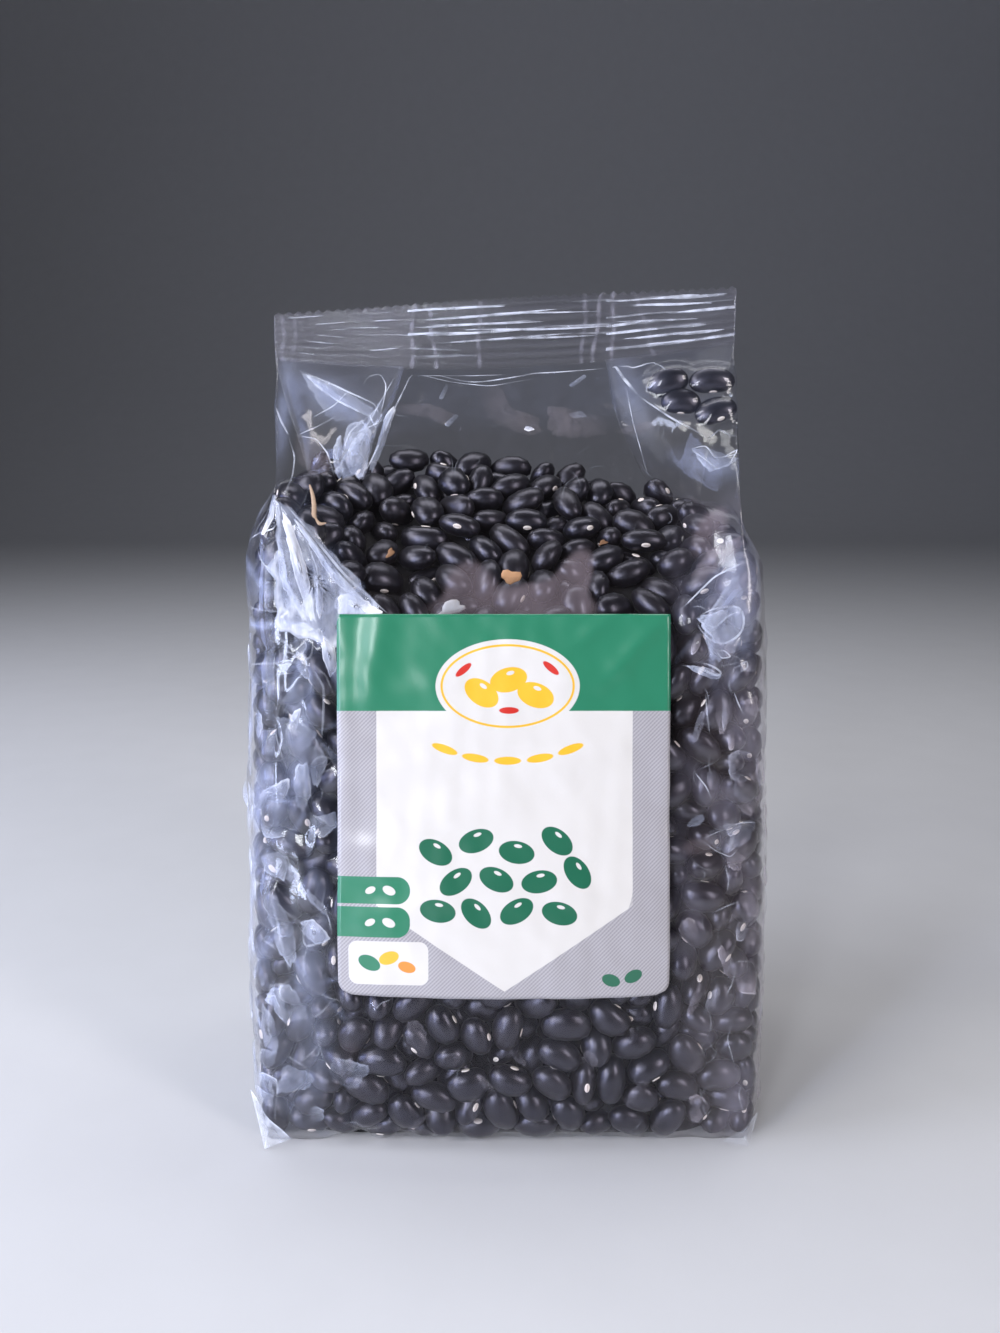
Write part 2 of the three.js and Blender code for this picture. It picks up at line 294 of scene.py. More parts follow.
# Inverse of symmetric 3x3 forms from their six numbers, by cofactors.
def invertForms(m):
    a, b, c = m[:, 0, 0], m[:, 0, 1], m[:, 0, 2]
    d, e, f = m[:, 1, 1], m[:, 1, 2], m[:, 2, 2]
    c00, c01, c02 = d * f - e * e, c * e - b * f, b * e - c * d
    c11, c12, c22 = a * f - c * c, b * c - a * e, a * d - b * b
    det = a * c00 + b * c01 + c * c02
    out = np.stack([c00, c01, c02, c01, c11, c12, c02, c12, c22], 1).reshape(-1, 3, 3)
    return out / det[:, None, None]


# Axes after a small turn: each gains the cross product of the turn with itself, and then the length and
# the width are squared up again.
def turnBy(axes, turn):
    size = np.linalg.norm(turn, axis=1, keepdims=True)
    turn = turn * np.minimum(1, 0.25 / np.maximum(size, 1e-9))
    axes = axes + np.cross(turn[:, :, None], axes, axis=1)
    first = axes[:, :, 0] / np.linalg.norm(axes[:, :, 0], axis=1, keepdims=True)
    second = axes[:, :, 1] - first * np.einsum("ij,ij->i", first, axes[:, :, 1])[:, None]
    second /= np.linalg.norm(second, axis=1, keepdims=True)
    return np.stack([first, second, np.cross(first, second)], 2)


# Beans start on a jittered lattice inside the bag, lying along the nearest wall or the slope. In each
# step those that overlap push each other apart and round, and the walls push them in.
def packBeans(spec):
    rng = np.random.default_rng(spec["seed"])
    half = np.array(spec["half"])
    volume = 4 / 3 * math.pi * half.prod()
    pitch = (volume / spec["fill"]) ** (1 / 3)
    levels = [np.arange(low, high, pitch) for low, high in spec["lattice"]]
    centre = np.stack(np.meshgrid(*levels, indexing="ij"), -1).reshape(-1, 3)
    centre = centre + rng.uniform(-spec["jitter"], spec["jitter"], centre.shape) * pitch
    wallGap, heapGap = spec["startGap"]
    inside = np.max([w[0] for w in insideWalls(centre)], axis=0) < -wallGap
    inside &= heapWall(centre, -heapGap)[0] < 0
    centre = centre[inside]
    count = len(centre)
    sizes = half * (1 + rng.normal(0, 1, (count, 3)).clip(-2, 2) * np.array(spec["spread"]))
    start = rng.normal(0, 1, (count, 3, 3))
    walls = insideWalls(centre) + [heapWall(centre, 0.0)]
    facing = np.array([w[1] for w in walls])[np.argmax([w[0] for w in walls], 0), np.arange(count)]
    start -= facing[:, :, None] * np.einsum("nk,nkj->nj", facing, start)[:, None] * np.array(spec["lying"])
    start[:, 2, 0] *= spec["lieDown"]
    axes = turnBy(start / np.linalg.norm(start, axis=1, keepdims=True), np.zeros((count, 3)))
    slack = rng.uniform(*spec["surfaceSlack"], count)
    for step in range(spec["steps"]):
        if step % spec["neighbourSteps"] == 0:
            pairs = nearPairs(centre, 2 * half[0] * spec["neighbourReach"])
        forms = np.einsum("nij,nj,nkj->nik", axes, sizes ** 2, axes)
        move = np.zeros((count, 3))
        turn = np.zeros((count, 3))
        a, b = pairs
        line = centre[b] - centre[a]
        gap = np.linalg.norm(line, axis=1)
        line = line / gap[:, None]
        pull = np.einsum("nij,nj->ni", invertForms(forms[a] + forms[b]), line)
        reach = np.sqrt(2 / np.einsum("ni,ni->n", line, pull))
        hit = reach > gap
        a, b, line, pull = a[hit], b[hit], line[hit], pull[hit]
        normal = pull / np.linalg.norm(pull, axis=1, keepdims=True)
        depth = (reach - gap)[hit] * np.einsum("ni,ni->n", line, normal)
        for who, sign in ((a, -1.0), (b, 1.0)):
            arm = np.einsum("nij,nj->ni", forms[who], -sign * normal)
            arm /= np.sqrt(np.einsum("ni,ni->n", arm, -sign * normal))[:, None]
            push = sign * normal * (0.5 * depth)[:, None] * spec["push"]
            twist = np.cross(arm, push) / spec["spin"] * spec["twist"]
            for k in range(3):
                move[:, k] += np.bincount(who, push[:, k], count)
                turn[:, k] += np.bincount(who, twist[:, k], count)
        for value, normal in insideWalls(centre) + [heapWall(centre, slack)]:
            arm = np.einsum("nij,nj->ni", forms, normal)
            support = np.sqrt(np.einsum("ni,ni->n", arm, normal))
            depth = np.maximum(0, value + support + spec["filmGap"])
            push = -normal * depth[:, None] * spec["wallPush"]
            move += push
            turn += np.cross(arm / support[:, None], push) / spec["spin"] * spec["twist"]
        move[:, 2] -= spec["sink"]
        centre = centre + move
        axes = turnBy(axes, turn)
    return centre, axes, sizes


steps = beans["steps"]
centre, axes, sizes = packBeans({**beans, "steps": steps})
wallDepth = -np.max([w[0] for w in insideWalls(centre)], axis=0)
heapDepth = -heapWall(centre, 0.0)[0]
kept = np.minimum(wallDepth, heapDepth) < beans["keepDepth"]
centre, axes, sizes = centre[kept], axes[kept], sizes[kept]
wallDepth, heapDepth = wallDepth[kept], heapDepth[kept]
report("%d beans packed" % len(centre))

# Four loose beans caught in the pocket between the front film and the right gusset: centre, the
# direction of the length, the direction of the width, half sizes, all in mm.
pocket = [
    ((37.3, -0.2, 175.3), (1, 0, 0.32), (-0.3, 0.15, 1), (4.9, 3.4, 2.5)),
    ((47.5, -0.5, 175.7), (1, 0.05, 0.05), (0, 0.5, 1), (5.4, 3.3, 2.6)),
    ((40.3, -1.5, 170.9), (1, 0, -0.05), (0.05, 0.4, 1), (4.7, 3.2, 2.5)),
    ((48.2, -3.0, 168.8), (0.95, 0.1, 0.3), (-0.25, 1.0, 0.7), (5.0, 3.8, 2.7)),
]


# Right-handed axes from a length and a width direction, as columns.
def axesFrom(length, width):
    a = np.array(length, float) / np.linalg.norm(length)
    b = np.array(width, float) - a * np.dot(a, width)
    b /= np.linalg.norm(b)
    return np.stack([a, b, np.cross(a, b)], 1)


pocketCentre = np.array([bean[0] for bean in pocket], float)
pocketAxes = np.array([axesFrom(bean[1], bean[2]) for bean in pocket])
pocketSizes = np.array([bean[3] for bean in pocket], float)
allCentre = np.concatenate([centre, pocketCentre])
allAxes = np.concatenate([axes, pocketAxes])
allSizes = np.concatenate([sizes, pocketSizes])


# Mesh from vertices in mm, quads and triangles, with named point values.
def makeMesh(name, points, quads=None, tris=None, values=None, uv=None):
    points = np.asarray(points, float).reshape(-1, 3) * 0.001
    quads = np.zeros((0, 4), int) if quads is None else np.asarray(quads).reshape(-1, 4)
    tris = np.zeros((0, 3), int) if tris is None else np.asarray(tris).reshape(-1, 3)
    corners = np.concatenate([quads.ravel(), tris.ravel()])
    starts = np.concatenate([np.arange(len(quads)) * 4, len(quads) * 4 + np.arange(len(tris)) * 3])
    mesh = bpy.data.meshes.new(name)
    mesh.vertices.add(len(points))
    mesh.vertices.foreach_set("co", points.ravel())
    mesh.loops.add(len(corners))
    mesh.loops.foreach_set("vertex_index", corners)
    mesh.polygons.add(len(starts))
    mesh.polygons.foreach_set("loop_start", starts)
    mesh.polygons.foreach_set("use_smooth", np.ones(len(starts), bool))
    mesh.update(calc_edges=True)
    for key, data in (values or {}).items():
        data = np.asarray(data, float)
        kind = "FLOAT" if data.ndim == 1 else "FLOAT_VECTOR"
        layer = mesh.attributes.new(key, kind, "POINT")
        layer.data.foreach_set("value" if data.ndim == 1 else "vector", data.ravel())
    if uv is not None:
        layer = mesh.uv_layers.new(name="print")
        layer.data.foreach_set("uv", np.asarray(uv, float)[corners].ravel())
    obj = bpy.data.objects.new(name, mesh)
    bpy.context.scene.collection.objects.link(obj)
    return obj


# Quads of a grid of rows by columns, wrapped round when closed, its vertices numbered row by row.
def gridQuads(rows, columns, closed=False):
    i, j = np.meshgrid(np.arange(rows - 1), np.arange(columns if closed else columns - 1), indexing="ij")
    right = (j + 1) % columns
    return np.stack([i * columns + j, i * columns + right,
                     (i + 1) * columns + right, (i + 1) * columns + j], -1).reshape(-1, 4)


# Triangles from a closed ring, its vertices numbered from start, to one tip.
def fanTris(start, count, tip):
    j = np.arange(count)
    return np.stack([start + j, start + (j + 1) % count, np.full(count, tip)], 1)


# The faces of one piece repeated for many copies of it, each with size vertices.
def repeatFaces(faces, copies, size):
    return faces[None] + (np.arange(copies) * size)[:, None, None]


# Quads of a thin slab whose rings run along its front and back again along its back: all round, then
# its lower and its upper edge.
def slabQuads(rows, columns):
    total = 2 * columns
    j = np.arange(columns - 1)
    edge = np.stack([j, j + 1, total - 2 - j, total - 1 - j], 1)
    return np.concatenate([gridQuads(rows, total, closed=True), edge[:, ::-1], edge + (rows - 1) * total])


# One bean of half length 1: rings round the length whose radius follows an ellipse with blunt ends,
# bent like a kidney, with a shallow dent where the eye sits.
def beanForm(segments, bands, bend=0.10, dent=0.10):
    turn = np.linspace(0, math.pi, bands + 1)[1:-1]
    x = -np.cos(turn)[:, None] * np.ones(segments)
    radius = (np.sin(turn) ** 0.92)[:, None]
    angle = 2 * math.pi * np.arange(segments) / segments
    y = radius * np.cos(angle)
    z = radius * np.sin(angle)
    eyeSide = np.clip(-np.cos(angle), 0, 1) ** 2 * np.exp(-(x / 0.42) ** 2)
    y = y + bend * (0.5 - x ** 2) * np.ones_like(y) + dent * eyeSide
    points = np.stack([x, y, z], -1).reshape(-1, 3)
    ends = np.array([[-1, -0.5 * bend, 0], [1, -0.5 * bend, 0]])
    points = np.concatenate([points, ends])
    quads = gridQuads(len(turn), segments, closed=True)
    low, high = len(points) - 2, len(points) - 1
    lastRing = low - segments
    tris = np.concatenate([fanTris(0, segments, low)[:, ::-1], fanTris(lastRing, segments, high)])
    return points, quads[:, ::-1], tris[:, ::-1]


# A form copied to many places: each point goes through its bean's own size and axes.
def scatter(name, form, centre, axes, sizes, tone):
    points, quads, tris = form
    placed = np.einsum("nij,npj->npi", axes, points[None] * sizes[:, None]) + centre[:, None]
    copies, size = len(centre), len(points)
    values = {"tone": np.repeat(tone, size), "own": np.tile(points, (copies, 1))}
    return makeMesh(name, placed, repeatFaces(quads, copies, size), repeatFaces(tris, copies, size), values)


# The pale eye: a low oval dome on the bean's inner edge, which lies at level from the bean's middle.
def eyeForm(segments=10, length=0.205, width=0.21, rise=0.035, level=0.85):
    angle = 2 * math.pi * np.arange(segments) / segments
    rings = []
    for share, height in ((1.0, -0.5), (0.8, 0.75), (0.4, 1.0)):
        rings.append(np.stack([share * length * np.cos(angle), np.full(segments, height * rise),
                               share * width * np.sin(angle)], 1))
    points = np.concatenate(rings + [np.array([[0, rise, 0]])])
    quads = gridQuads(3, segments, closed=True)
    tris = fanTris(2 * segments, segments, len(points) - 1)
    points[:, 1] = -level - points[:, 1]
    return points, quads, tris


rng = np.random.default_rng(beans["seed"] + 1)
tone = rng.uniform(0, 1, len(centre))
onHeap = heapDepth < wallDepth
form = beanForm(beans["segments"], beans["bands"])
heapBeans, packedBeans = [scatter(name, form, centre[chosen], axes[chosen], sizes[chosen], tone[chosen])
                          for name, chosen in (("heapBeans", onHeap), ("packedBeans", ~onHeap))]
pocketTone = np.array([0.2, 0.6, 0.4, 0.1])
pocketBeans = scatter("pocketBeans", beanForm(24, 16), pocketCentre, pocketAxes, pocketSizes, pocketTone)
eyes = scatter("beanEyes", eyeForm(), allCentre, allAxes, allSizes, np.append(tone, pocketTone))
report("bean meshes")


def color(r, g, b):
    return (r, g, b, 1.0)


# Node helpers: each returns an output socket.
class Nodes:
    def __init__(self, name):
        self.material = bpy.data.materials.new(name)
        self.material.use_nodes = True
        self.tree = self.material.node_tree
        self.tree.nodes.clear()

    def add(self, kind, inputs=None, **settings):
        node = self.tree.nodes.new(kind)
        for key, value in settings.items():
            setattr(node, key, value)
        for key, value in (inputs or {}).items():
            socket = node.inputs[key]
            if isinstance(value, bpy.types.NodeSocket):
                self.tree.links.new(value, socket)
            else:
                socket.default_value = value
        return node

    def math(self, operation, a, b=0.0, clamp=False):
        return self.add("ShaderNodeMath", {0: a, 1: b}, operation=operation, use_clamp=clamp).outputs[0]

    def vector(self, operation, a, b=(0, 0, 0)):
        return self.add("ShaderNodeVectorMath", {0: a, 1: b}, operation=operation).outputs[0]

    def length(self, a):
        return self.add("ShaderNodeVectorMath", {0: a}, operation="LENGTH").outputs[1]

    def attribute(self, name, output="Fac"):
        return self.add("ShaderNodeAttribute", attribute_name=name).outputs[output]

    def objectPlace(self, scale=(1, 1, 1)):
        place = self.add("ShaderNodeTexCoord").outputs["Object"]
        return self.add("ShaderNodeMapping", {"Vector": place, "Scale": scale}).outputs["Vector"]

    def noise(self, vector, scale, detail=3.0, roughness=0.5, output="Fac"):
        inputs = {"Vector": vector, "Scale": scale, "Detail": detail, "Roughness": roughness}
        return self.add("ShaderNodeTexNoise", inputs).outputs[output]

    def mix(self, factor, a, b):
        node = self.add("ShaderNodeMix", data_type="RGBA")
        for index, value in ((0, factor), (6, a), (7, b)):
            if isinstance(value, bpy.types.NodeSocket):
                self.tree.links.new(value, node.inputs[index])
            else:
                node.inputs[index].default_value = value
        return node.outputs[2]

    def range(self, value, low, high, newLow, newHigh):
        inputs = {"Value": value, "From Min": low, "From Max": high, "To Min": newLow, "To Max": newHigh}
        return self.add("ShaderNodeMapRange", inputs).outputs[0]

    # Share of light that a thin clear sheet throws back: straight on, rising to grazing by the fifth
    # power of one minus the cosine. The same from both sides.
    def sheen(self, straight, normal):
        facing = self.add("ShaderNodeLayerWeight", {"Blend": 0.5, "Normal": normal}).outputs["Facing"]
        return self.math("ADD", self.math("MULTIPLY", self.math("POWER", facing, 5.0), 0.85), straight)

    def bump(self, height, strength, distance):
        inputs = {"Height": height, "Strength": strength, "Distance": distance}
        return self.add("ShaderNodeBump", inputs).outputs[0]

    # The shaders: a see-through sheet, a dull and a glossy finish, a mix of two, and a full finish.
    def clear(self, tint):
        return self.add("ShaderNodeBsdfTransparent", {"Color": tint}).outputs[0]

    def dull(self, tint):
        return self.add("ShaderNodeBsdfDiffuse", {"Color": tint}).outputs[0]

    def gloss(self, roughness, normal):
        inputs = {"Color": color(1, 1, 1), "Roughness": roughness, "Normal": normal}
        return self.add("ShaderNodeBsdfGlossy", inputs).outputs[0]

    def blend(self, share, under, over):
        return self.add("ShaderNodeMixShader", {0: share, 1: under, 2: over}).outputs[0]

    def paint(self, base, roughness, more=None):
        inputs = {"Base Color": base, "Roughness": roughness, **(more or {})}
        return self.add("ShaderNodeBsdfPrincipled", inputs).outputs[0]

    def finish(self, shader):
        self.add("ShaderNodeOutputMaterial", {"Surface": shader})
        return self.material


def assign(material, *pieces):
    for piece in pieces:
        piece.data.materials.clear()
        piece.data.materials.append(material)


# Seed coat: near black with a cool or a brownish cast from bean to bean, a faint mottle and a satin
# shine that comes from a roughness broken up by fine pores.
def seedCoat():
    n = Nodes("seed coat")
    tone = n.attribute("tone")
    own = n.attribute("own", "Vector")
    mottle = n.noise(own, 3.2, 4.0, 0.6)
    cast = n.mix(tone, color(0.0028, 0.0029, 0.0046), color(0.0060, 0.0047, 0.0052))
    base = n.mix(n.range(mottle, 0.45, 0.75, 0.0, 0.6), cast, color(0.0095, 0.0098, 0.0145))
    pores = n.noise(n.objectPlace(), 2600.0, 2.0, 0.5)
    rough = n.range(n.math("ADD", mottle, n.math("MULTIPLY", tone, 0.35)), 0.3, 1.0, 0.28, 0.40)
    relief = n.math("ADD", n.math("MULTIPLY", pores, 0.35), mottle)
    return n.finish(n.paint(base, rough, {
        "Specular IOR Level": 0.82, "Specular Tint": color(0.82, 0.80, 1.0), "Sheen Weight": 0.03,
        "Sheen Roughness": 0.4, "Normal": n.bump(relief, 0.2, 0.0001)}))


# Eye scar: pale and grainy, with a darker slit along its middle.
def eyeScar():
    n = Nodes("eye scar")
    own = n.add("ShaderNodeSeparateXYZ", {0: n.attribute("own", "Vector")})
    across = n.range(n.math("ABSOLUTE", own.outputs[2]), 0.015, 0.045, 1.0, 0.0)
    along = n.range(n.math("ABSOLUTE", own.outputs[0]), 0.12, 0.17, 1.0, 0.0)
    slit = n.math("MULTIPLY", across, along)
    grain = n.noise(n.objectPlace(), 1800.0, 3.0)
    pale = n.mix(grain, color(0.62, 0.56, 0.50), color(0.86, 0.82, 0.78))
    pale = n.mix(n.attribute("tone"), pale, color(0.80, 0.70, 0.66))
    base = n.mix(n.math("MULTIPLY", slit, 0.55), pale, color(0.28, 0.20, 0.17))
    return n.finish(n.paint(base, 0.6, {"Normal": n.bump(grain, 0.3, 0.0001)}))


assign(seedCoat(), heapBeans, packedBeans, pocketBeans)
assign(eyeScar(), eyes)


# The film is a ring of points carried up the bag: front panel, right side, back panel, left side,
# each over its own share of columns, then drawn together at the top and closed under the base.
film = {
    "frontColumns": 150, "sideColumns": 104, "backColumns": 60, "rows": 211,
    "frontWidth": 105.0,  # mm, used to lay folds and creases out
    "facetSizes": (21.0, 9.0, 4.6), "patchSize": 7.0, "bend": (40, 3.5),  # mm: facets, haze, waves in them
    "sagFront": 0.9, "sagSide": 0.35,  # mm that the film dips between beans
    "reach": 9.0,  # mm, how far a bean can bear on the film
    "lift": 0.15,  # mm
    "hump": (2.0, -35.5, 6.0),  # the front edge of the base stands off the floor here: height, x, width
    "seed": 92, "paneSeed": 12,
    # broad places of painted pale glare and of painted brownish reflection: x, z, half width, half height in
    # mm, turn in degrees, strength
    "milkyGlare": [(-42, 172, 9, 3.0, -32, 0.12), (-52.5, 168, 1.6, 9, 0, 0.16), (29, 172, 3, 9, 18, 0.08),
              (47, 157, 6, 2.5, -12, 0.12), (49, 133, 5, 9, -30, 0.16), (53, 124, 3, 12, -10, 0.16)],
    "tan": [(-9, 131, 6, 5.5, 25, 0.9), (7, 128, 9, 4, 0, 0.8), (15, 133, 4, 7, -30, 0.9),
            (0, 125, 22, 3, 0, 0.9), (45, 142, 4, 8, -30, 0.8), (44, 73, 7, 3, 10, 0.7),
            (-36, 27, 5, 4, 0, 0.5)],
    # flat folds of film with clear edges, painted as patches of glare: strength, then the corners (x, z) in
    # mm
    "glarePanes": [
        (0.44, [(-52.3, 150.8), (-52.1, 120.5), (-37.6, 116.4), (-26.7, 124)]),
        (0.95, [(-51.1, 146.9), (-47.8, 132.9), (-43.6, 121.6), (-42.5, 121.6), (-45, 134.5),
                (-49.7, 146.5)]),
        (0.60, [(-49.1, 146), (-39.9, 132.1), (-31.5, 124.7), (-30.3, 125.5), (-38.3, 133.6),
                (-47.1, 144.2)]),
        (0.50, [(-44.3, 139.1), (-42.4, 122.8), (-41.2, 123.6), (-41.4, 136)]),
        (0.80, [(-39.0, 126.5), (-37.6, 122.9), (-28.7, 123.5), (-27.6, 124.4), (-33.6, 128.4),
                (-37.4, 130.4)]),
        (0.55, [(-51.7, 142.3), (-50.9, 131.4), (-45, 121.8), (-44.2, 122.4), (-50.1, 134.5), (-51, 142.9)]),
        (0.90, [(-48.1, 121.8), (-47.8, 120.3), (-45.8, 119.6), (-43.2, 120.8), (-45.4, 122.6)]),
        (0.75, [(-53.8, 150.2), (-55.2, 140.9), (-54.1, 140.8), (-52.4, 145.4), (-52.1, 150.4)]),
        (0.34, [(-49.1, 178.4), (-40.7, 172), (-30.4, 167), (-29.8, 168.7), (-40.1, 175)]),
        (0.36, [(-37.8, 165), (-37.8, 157.8), (-35, 153.6), (-32.6, 154.6), (-31.5, 165), (-34.7, 167.5)]),
        (0.40, [(-28.2, 169.1), (-30, 162.6), (-32.2, 155.4), (-31.4, 154.6), (-28.7, 161), (-25.7, 170.7)]),
        (0.38, [(-40.5, 159.3), (-39, 153.6), (-37.6, 154.6), (-38.5, 163.8), (-39.5, 163.4)]),
        (0.85, [(3.6, 165), (4.8, 164.5), (6.2, 165), (5.4, 165.6), (4.0, 165.7)]),
        (0.16, [(14.2, 168.9), (15, 167.7), (18.5, 168.1), (17.1, 169.4)]),
        (0.16, [(-14.8, 166.2), (-13.8, 165.3), (-11.2, 168.3), (-12.2, 168.4)]),
        (0.22, [(14.2, 175.3), (15.1, 174.7), (18.8, 177.4), (17.7, 177.6)]),
        (0.12, [(-16.2, 172.4), (-15.2, 171.9), (-13.8, 175.4), (-14.5, 175.7)]),
        (0.22, [(41.8, 160.6), (45.5, 155.4), (50.3, 157), (53.2, 158.6), (50.4, 159), (46.2, 161)]),
        (0.60, [(22.3, 118.9), (36.9, 121.9), (36.7, 122.7)]),
        (0.80, [(-38.1, 128.2), (-38, 118.6), (-31.8, 123.6), (-35, 129)]),
        (0.10, [(-49.2, 178.4), (-41.3, 166.8), (-30.2, 167.5)]),
        (0.26, [(-40.2, 154.7), (-33, 153.7), (-28.3, 173.7)]),
        (0.20, [(42.7, 121.9), (45.5, 113), (53.5, 118.5), (51.1, 133.9)]),
        (0.25, [(-53.9, 58.6), (-52.6, 49.8), (-49.2, 44.6), (-47.7, 47), (-48.5, 54.2), (-53.6, 63)]),
        (0.42, [(-47.1, 56), (-46.2, 52.8), (-42.6, 50.7), (-39.7, 52.8), (-43.6, 56.6)]),
        (0.18, [(-51.9, 101.9), (-51.2, 95.9), (-49.1, 90.5), (-42.3, 97.8), (-45.6, 99.9)]),
        (0.28, [(-48.3, 85.7), (-47.2, 80.3), (-45.8, 80.3), (-44.1, 85.3), (-45.1, 91.8), (-47.9, 90.6)]),
        (0.25, [(-55.2, 69), (-53.6, 65.7), (-50.7, 64.3), (-49.6, 67.7), (-51.3, 72.1)]),
        (0.75, [(-48.1, 121.9), (-47.3, 119.7), (-44.8, 120), (-43.7, 122.4)]),
        (0.70, [(-41.3, 115), (-39.5, 110.2), (-38.1, 111.6), (-38.6, 117.1), (-41.3, 119.8)]),
        (0.22, [(-45.3, 78.7), (-44.7, 75.5), (-41.9, 74.6), (-38.6, 76.9), (-38.6, 80.6)]),
        (0.28, [(41.5, 123.4), (46.1, 117.5), (49.8, 117.8), (52.1, 121.2), (51.4, 126.2)]),
        (0.45, [(39.2, 113.1), (42.4, 111.1), (46.5, 109.6), (47.9, 110.7), (44.1, 112.6)]),
        (0.10, [(43.7, 74.7), (48.8, 70.4), (53, 72.4), (56.4, 77.5), (48.1, 77.3)]),
        (0.22, [(40.2, 77.2), (41.6, 76.9), (43.2, 77.4), (44.5, 78.8), (44.0, 79.7), (42.4, 79.4),
                (41.0, 78.5)]),
        (0.28, [(-54.8, 36.6), (-50.9, 32), (-45, 33.7), (-49.3, 41.3), (-53.1, 40.3)]),
        (0.26, [(-55.7, 29.4), (-54.9, 24.2), (-51.9, 25.4), (-53.2, 32.4), (-55.2, 36.1)]),
        (0.25, [(-54.1, 13.3), (-45.6, 16), (-44.2, 19.8), (-51.6, 21.6)]),
        (0.16, [(-40.6, 18.5), (-35.4, 16.4), (-33.3, 19.3), (-30.8, 23), (-40.4, 24.6)]),
    ],
    # the same as painted brownish reflections
    "warmGlarePanes": [
        (0.10, [(-26.9, 170.7), (-18.2, 171.1), (-11.5, 168.1), (-14.8, 165.6), (-18.1, 167.5),
                (-25.6, 168.7)]),
        (0.10, [(-7.4, 174.9), (-1.6, 175.3), (0.9, 169.1), (7.5, 168.2), (7.5, 163.4), (1.7, 164.2),
                (-4.9, 167.4)]),
        (0.12, [(9.2, 170.7), (15, 169.9), (23.2, 167.4), (23.2, 163.8), (14.9, 163), (9.2, 164.2)]),
        (0.10, [(24, 164.2), (27.3, 165.8), (33.9, 167.4), (33.8, 165), (28.1, 163.8)]),
        (0.14, [(-49.3, 164.2), (-44.3, 162.6), (-40.4, 157.8), (-40.7, 154.6), (-44.7, 154.6),
                (-48.5, 157.8)]),
        (0.30, [(40.7, 132.9), (45.5, 139.1), (52.5, 141.5), (50.9, 136.9), (46.2, 133.7), (41.5, 129)]),
    ],
    # scattered ones, painted as glints over the crumpled strips: how many, from and to round the bag, heights
    # in mm, strengths, how brownish
    "facetGlarePanes": [
        (70, (-0.34, 0.115), (8, 118), (0.06, 0.38), 0.0),
        (54, (0.88, 1.28), (8, 118), (0.08, 0.30), 0.75),
        (16, (0.885, 1.1), (30, 125), (0.08, 0.26), 0.35),
        (12, (0.15, 0.85), (6, 34), (0.03, 0.10), 0.6),
        (60, (1.3, 2.75), (8, 122), (0.03, 0.12), 0.3),
    ],
    "shoulders": ((-26.7, 124.0, -1.047), (42.7, 121.9, 1.43)),  # the gable's lower edges: a point, a slope
    # folds that fan out from a point, raised a little and painted as bright rays of glare: x, z, radius in
    # mm, rays per radian, strength
    "fans": [(-43, 122.5, 19, 10, 1.0), (-43.5, 115, 9, 7, 0.6), (44.5, 122.0, 9, 8, 0.7),
             (-44, 41.5, 8, 6, 0.5), (-45, 82, 8, 5, 0.5), (-44, 98, 8, 6, 0.4)],
}
perColumn = film["frontWidth"] / film["frontColumns"]  # mm
perRow = gableTop / (film["rows"] - 1)


# Points of the film at heights z: one ring for each, through the four panels.
def ringPoints(z, spec):
    s = np.linspace(-1, 1, spec["frontColumns"] + 1)[:-1]
    t = np.linspace(0, 1, spec["sideColumns"] + 1)[:-1]
    b = np.linspace(1, -1, spec["backColumns"] + 1)[:-1]
    z = z[:, None]
    half, shift = measure("creaseX", z), sealShift(z)
    frontX, backX = shift + half * s, shift + half * b
    frontC, backC = measure("frontCrease", z), measure("backCrease", z)
    rightY = frontC + (backC - frontC) * t
    leftY = backC - (backC - frontC) * t
    x = np.concatenate([frontX, shift + sideReach(1, rightY, z), backX,
                        shift - sideReach(-1, leftY, z)], 1)
    y = np.concatenate([panelY("front", frontX, z), rightY, panelY("back", backX, z), leftY], 1)
    hump = spec["hump"][0] * np.exp(-((x - spec["hump"][1]) / spec["hump"][2]) ** 2) * (y < 0)
    return np.stack([x, y, z + gableLift(x, z) + hump * (1 - smooth(0, 14, z))], -1)


# Outward normals of the film's grid: the cross product of the steps along and up.
def gridNormals(points):
    along = np.roll(points, -1, 1) - np.roll(points, 1, 1)
    up = np.gradient(points, axis=0)
    normal = np.cross(along, up)
    return normal / np.maximum(np.linalg.norm(normal, axis=-1, keepdims=True), 1e-9)


# Distances along the ring and up the film, in mm, used to lay out creases.
def gridPlaces(points):
    along = np.linalg.norm(np.diff(points, axis=1), axis=-1)
    along = np.concatenate([np.zeros((len(points), 1)), np.cumsum(along, 1)], 1)
    up = np.linalg.norm(np.diff(points, axis=0), axis=-1)
    up = np.concatenate([np.zeros((1, points.shape[1])), np.cumsum(up, 0)], 0)
    return along, up


# How far the film can sink before it meets a bean: over a place at offset t from the point where the
# bean touches the wall, the bean lies lower by (h / 2) t.F.t, h being its half height towards the wall
# and F its inverse form.
def beanDepth(place, normal, centre, axes, sizes, reach):
    forms = np.einsum("nij,nj,nkj->nik", axes, sizes ** 2, axes)
    inverse = invertForms(forms)
    count = len(place)
    key, steps = cubeKeys(np.concatenate([place, centre]), reach)
    order = np.argsort(key[count:], kind="stable")
    depth = np.full(count, 20.0)  # where no bean is near
    for step in steps:
        a, found = inCubes(key[:count] + step, key[count:][order])
        b = order[found]
        n = normal[a]
        away = place[a] - centre[b]
        fn = np.einsum("nij,nj->ni", forms[b], n)
        h = np.sqrt(np.einsum("ni,ni->n", fn, n))
        over = np.einsum("ni,ni->n", away, n)
        off = away - over[:, None] * n - (fn / h[:, None] - h[:, None] * n)
        drop = 0.5 * h * np.einsum("ni,nij,nj->n", off, inverse[b], off)
        ok = over - h > -3.0
        np.minimum.at(depth, a[ok], (over - h + drop)[ok])
    return depth


